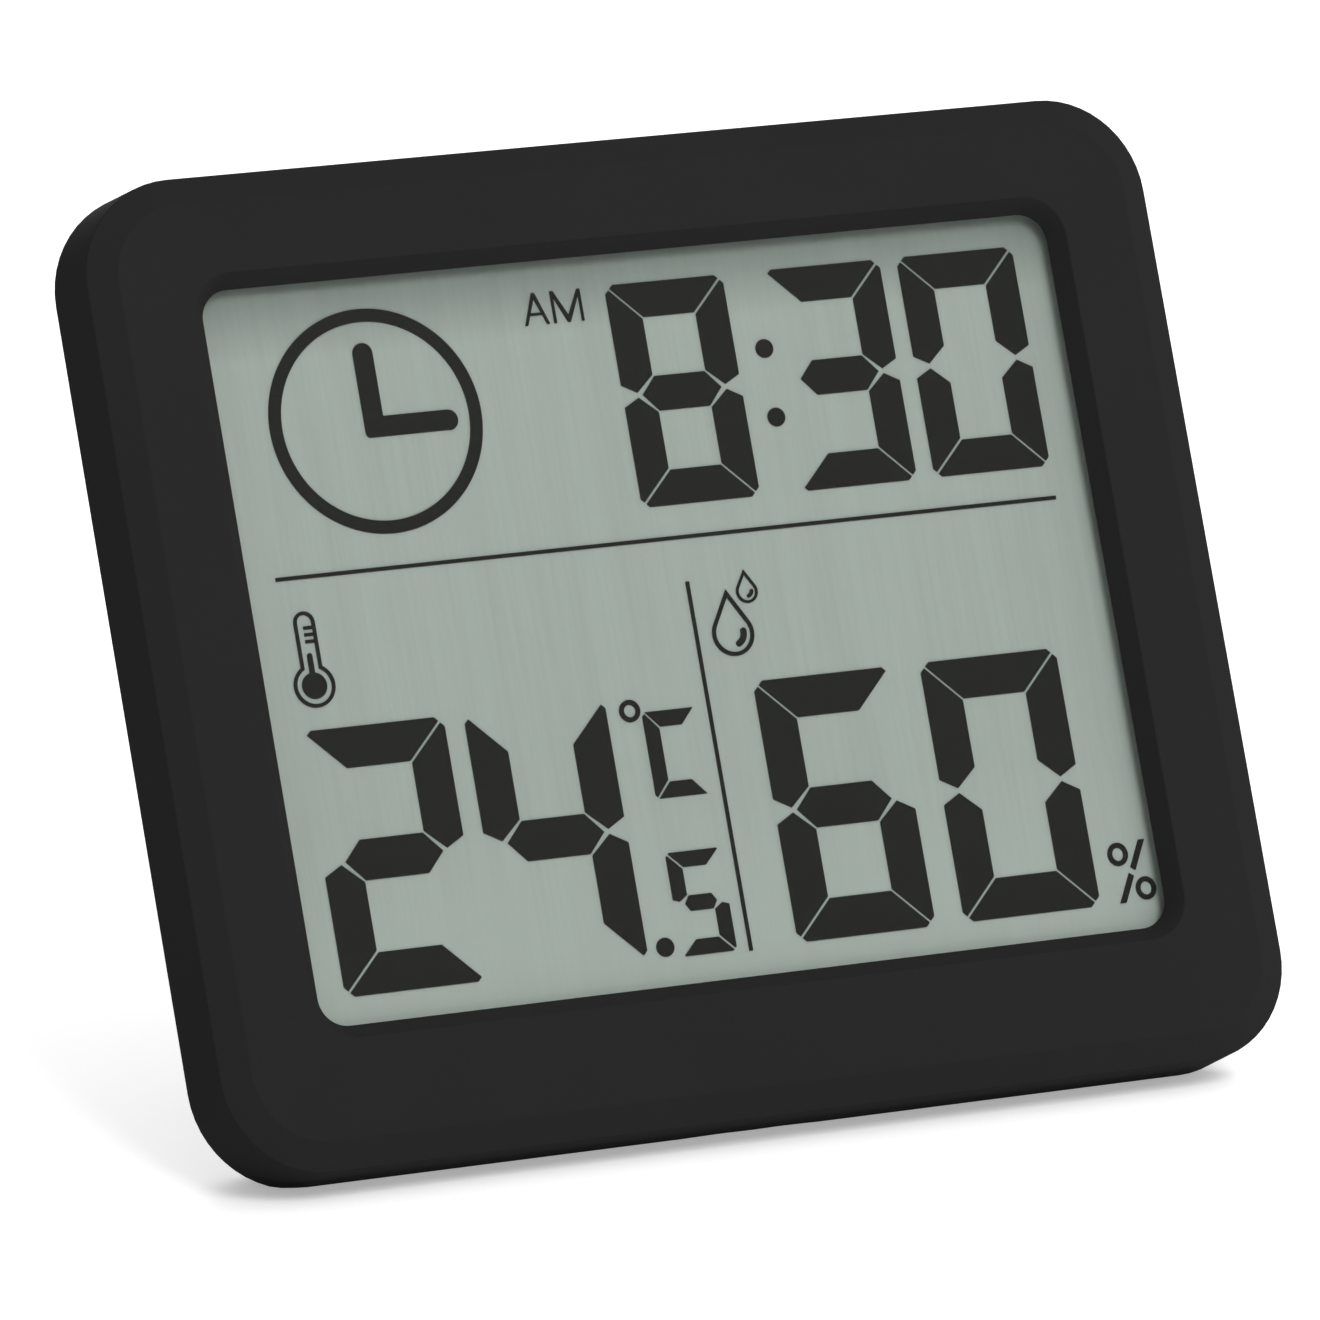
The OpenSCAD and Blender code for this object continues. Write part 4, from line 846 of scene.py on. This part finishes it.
class THERMO_OT_stage(bpy.types.Operator):
    """Stage: a white floor that keeps the shadow, soft studio light and the camera of the photograph"""

    bl_idname = "thermo.stage"
    bl_label = "Stage"

    def execute(self, context):
        s = context.scene.thermo_stage
        self.floor(context.scene.thermo_finishes.floor)
        middle = place((0, MID, 0))
        # Both lamps are square and stand in metres from the face's middle
        self.lamp("key_light", middle, 0.15 * RIGHT - 1.6 * DEEP + 0.65 * UP, 0.7, s.key)
        self.lamp("back_light", middle, 0.9 * RIGHT + 1.2 * DEEP + 1.6 * UP, 1.2, s.back)
        self.world(context.scene, s.ambient, s.tilt)
        self.camera(context.scene, s, middle)
        return {"FINISHED"}

    @staticmethod
    def background_rays(tree):
        """A share of 1 for the rays that see the plain background: those straight from the camera, and
        those that gloss or glass has turned. It is 0 for the rays that only carry light."""
        rays = add_node(tree, "ShaderNodeLightPath").outputs
        share = rays["Is Camera Ray"]
        for kind in ("Is Glossy Ray", "Is Transmission Ray"):
            share = add_node(tree, "ShaderNodeMath", {0: share, 1: rays[kind]}, operation="MAXIMUM").outputs[0]
        return share

    def floor(self, colour_value):
        """A wide sheet just under the object. To the camera and in gloss it is lifted to white, less its
        shadow, and from below it is clear."""
        reach, level, lifted = 4.0, -2e-5, 0.35
        mesh = bpy.data.meshes.new("floor")
        mesh.from_pydata([(-reach, -reach, level), (reach, -reach, level), (reach, reach, level),
                          (-reach, reach, level)], [], [(0, 1, 2, 3)])
        floor = bpy.data.objects.new("floor", mesh)
        bpy.context.scene.collection.objects.link(floor)
        # Matt white paper with faint clouds of its fibre
        material = bpy.data.materials.new("white_paper_floor")
        material.use_nodes = True
        tree = material.node_tree
        tree.nodes.clear()
        fibre = add_node(tree, "ShaderNodeTexNoise", {"Vector": flat_vector(tree, (2.0,) * 3), "Scale": 1.0})
        paper = add_node(tree, "ShaderNodeBsdfDiffuse",
                         {"Color": mixed(tree, fibre.outputs["Fac"], shade(colour_value, 0.985),
                                         colour_value)})
        lift = add_node(tree, "ShaderNodeMath", {0: self.background_rays(tree), 1: lifted},
                        operation="MULTIPLY")
        glow = add_node(tree, "ShaderNodeEmission", {"Strength": lift.outputs[0]})
        both = add_node(tree, "ShaderNodeAddShader")
        tree.links.new(paper.outputs[0], both.inputs[0])
        tree.links.new(glow.outputs[0], both.inputs[1])
        below = add_node(tree, "ShaderNodeNewGeometry").outputs["Backfacing"]
        top = add_node(tree, "ShaderNodeMixShader", {"Fac": below})
        tree.links.new(both.outputs[0], top.inputs[1])
        tree.links.new(add_node(tree, "ShaderNodeBsdfTransparent").outputs[0], top.inputs[2])
        add_node(tree, "ShaderNodeOutputMaterial", {"Surface": top.outputs[0]})
        mesh.materials.append(material)

    def lamp(self, name, target, offset, side, power):
        """A square soft box that faces the object's middle from an offset in metres."""
        light = bpy.data.lights.new(name, "AREA")
        light.shape, light.size, light.energy = "SQUARE", side, power
        lamp = bpy.data.objects.new(name, light)
        bpy.context.scene.collection.objects.link(lamp)
        lamp.location = target + offset
        lamp.rotation_euler = Matrix(self.facing(-offset)).to_euler()

    @staticmethod
    def facing(forward):
        """Axes of a lamp or camera that looks along a direction and stays level: its right, its up and
        its backward direction, as the columns of a matrix."""
        forward = forward / np.linalg.norm(forward)
        right = np.cross(forward, (0, 0, 1))
        right /= np.linalg.norm(right)
        return np.stack([right, np.cross(right, forward), -forward], axis=1)

    def world(self, scene, ambient, tilt):
        """White to the camera and in gloss. As light it is a grey that grows evenly from the left to the
        right: the ambient level times one plus the tilt times the direction's x."""
        scene.world = scene.world or bpy.data.worlds.new("studio")
        scene.world.use_nodes = True
        tree = scene.world.node_tree
        tree.nodes.clear()
        direction = add_node(tree, "ShaderNodeTexCoord").outputs["Generated"]
        across = add_node(tree, "ShaderNodeSeparateXYZ", {"Vector": direction}).outputs["X"]
        dim, bright = ambient * (1 - tilt), ambient * (1 + tilt)
        level = add_node(tree, "ShaderNodeMapRange",
                         {"Value": across, "From Min": -1.0, "To Min": dim, "To Max": bright})
        seen = mixed(tree, self.background_rays(tree), level.outputs["Result"], (1, 1, 1, 1))
        background = add_node(tree, "ShaderNodeBackground", {"Color": seen})
        add_node(tree, "ShaderNodeOutputWorld", {"Surface": background.outputs[0]})
        scene.view_settings.view_transform = "Standard"

    def camera(self, scene, s, middle):
        """The camera stands its distance behind the face's middle along its own axis, and steps aside
        by that middle's place in the photograph."""
        along = np.array([math.sin(s.azimuth) * math.cos(s.fall), math.cos(s.azimuth) * math.cos(s.fall),
                          -math.sin(s.fall)])
        axes = self.facing(along)
        pixel = SENSOR / s.lens / PHOTO_SIDE * s.distance * MM
        aside = (np.array(s.face_pixel) - PHOTO_SIDE / 2) * pixel
        place_at = middle - along * s.distance * MM - axes[:, 0] * aside[0] + axes[:, 1] * aside[1]
        data = bpy.data.cameras.new("photo_camera")
        data.lens, data.sensor_width = s.lens, SENSOR
        camera = bpy.data.objects.new("photo_camera", data)
        scene.collection.objects.link(camera)
        matrix = Matrix.Identity(4)
        for row in range(3):
            matrix[row][:] = [*axes[row].tolist(), place_at[row]]
        camera.matrix_world = matrix
        scene.camera = camera


class THERMO_PT_panel(bpy.types.Panel):
    """Lists the pieces and their sizes"""

    bl_idname = "THERMO_PT_panel"
    bl_label = "Digital Thermometer"
    bl_space_type = "VIEW_3D"
    bl_region_type = "UI"
    bl_category = "Thermometer"

    def draw(self, context):
        for operator in OPERATORS:
            self.layout.operator(operator.bl_idname)
        for name, group in GROUPS.items():
            box = self.layout.box()
            for prop in group.__annotations__:
                box.prop(getattr(context.scene, name), prop)


GROUPS = {"thermo_casing": CasingSizes, "thermo_signs": SignSizes, "thermo_finishes": Finishes,
          "thermo_stage": StageSizes}
OPERATORS = [THERMO_OT_front_casing, THERMO_OT_display, THERMO_OT_signs, THERMO_OT_back, THERMO_OT_buttons,
             THERMO_OT_electronics, THERMO_OT_battery, THERMO_OT_screws, THERMO_OT_stage]


def register():
    """Registers the classes and puts the sizes on the scene."""
    for cls in (*GROUPS.values(), *OPERATORS, THERMO_PT_panel):
        bpy.utils.register_class(cls)
    for name, group in GROUPS.items():
        setattr(bpy.types.Scene, name, bpy.props.PointerProperty(type=group))


def unregister():
    """Takes the sizes and classes away again."""
    for name in GROUPS:
        delattr(bpy.types.Scene, name)
    for cls in reversed((*GROUPS.values(), *OPERATORS, THERMO_PT_panel)):
        bpy.utils.unregister_class(cls)


def main():
    """Makes every piece and the stage."""
    register()
    bpy.ops.thermo.front_casing()
    bpy.ops.thermo.display()
    bpy.ops.thermo.signs()
    bpy.ops.thermo.back()
    bpy.ops.thermo.buttons()
    bpy.ops.thermo.electronics()
    bpy.ops.thermo.battery()
    bpy.ops.thermo.screws()
    bpy.ops.thermo.stage()


if __name__ == "__main__":
    main()
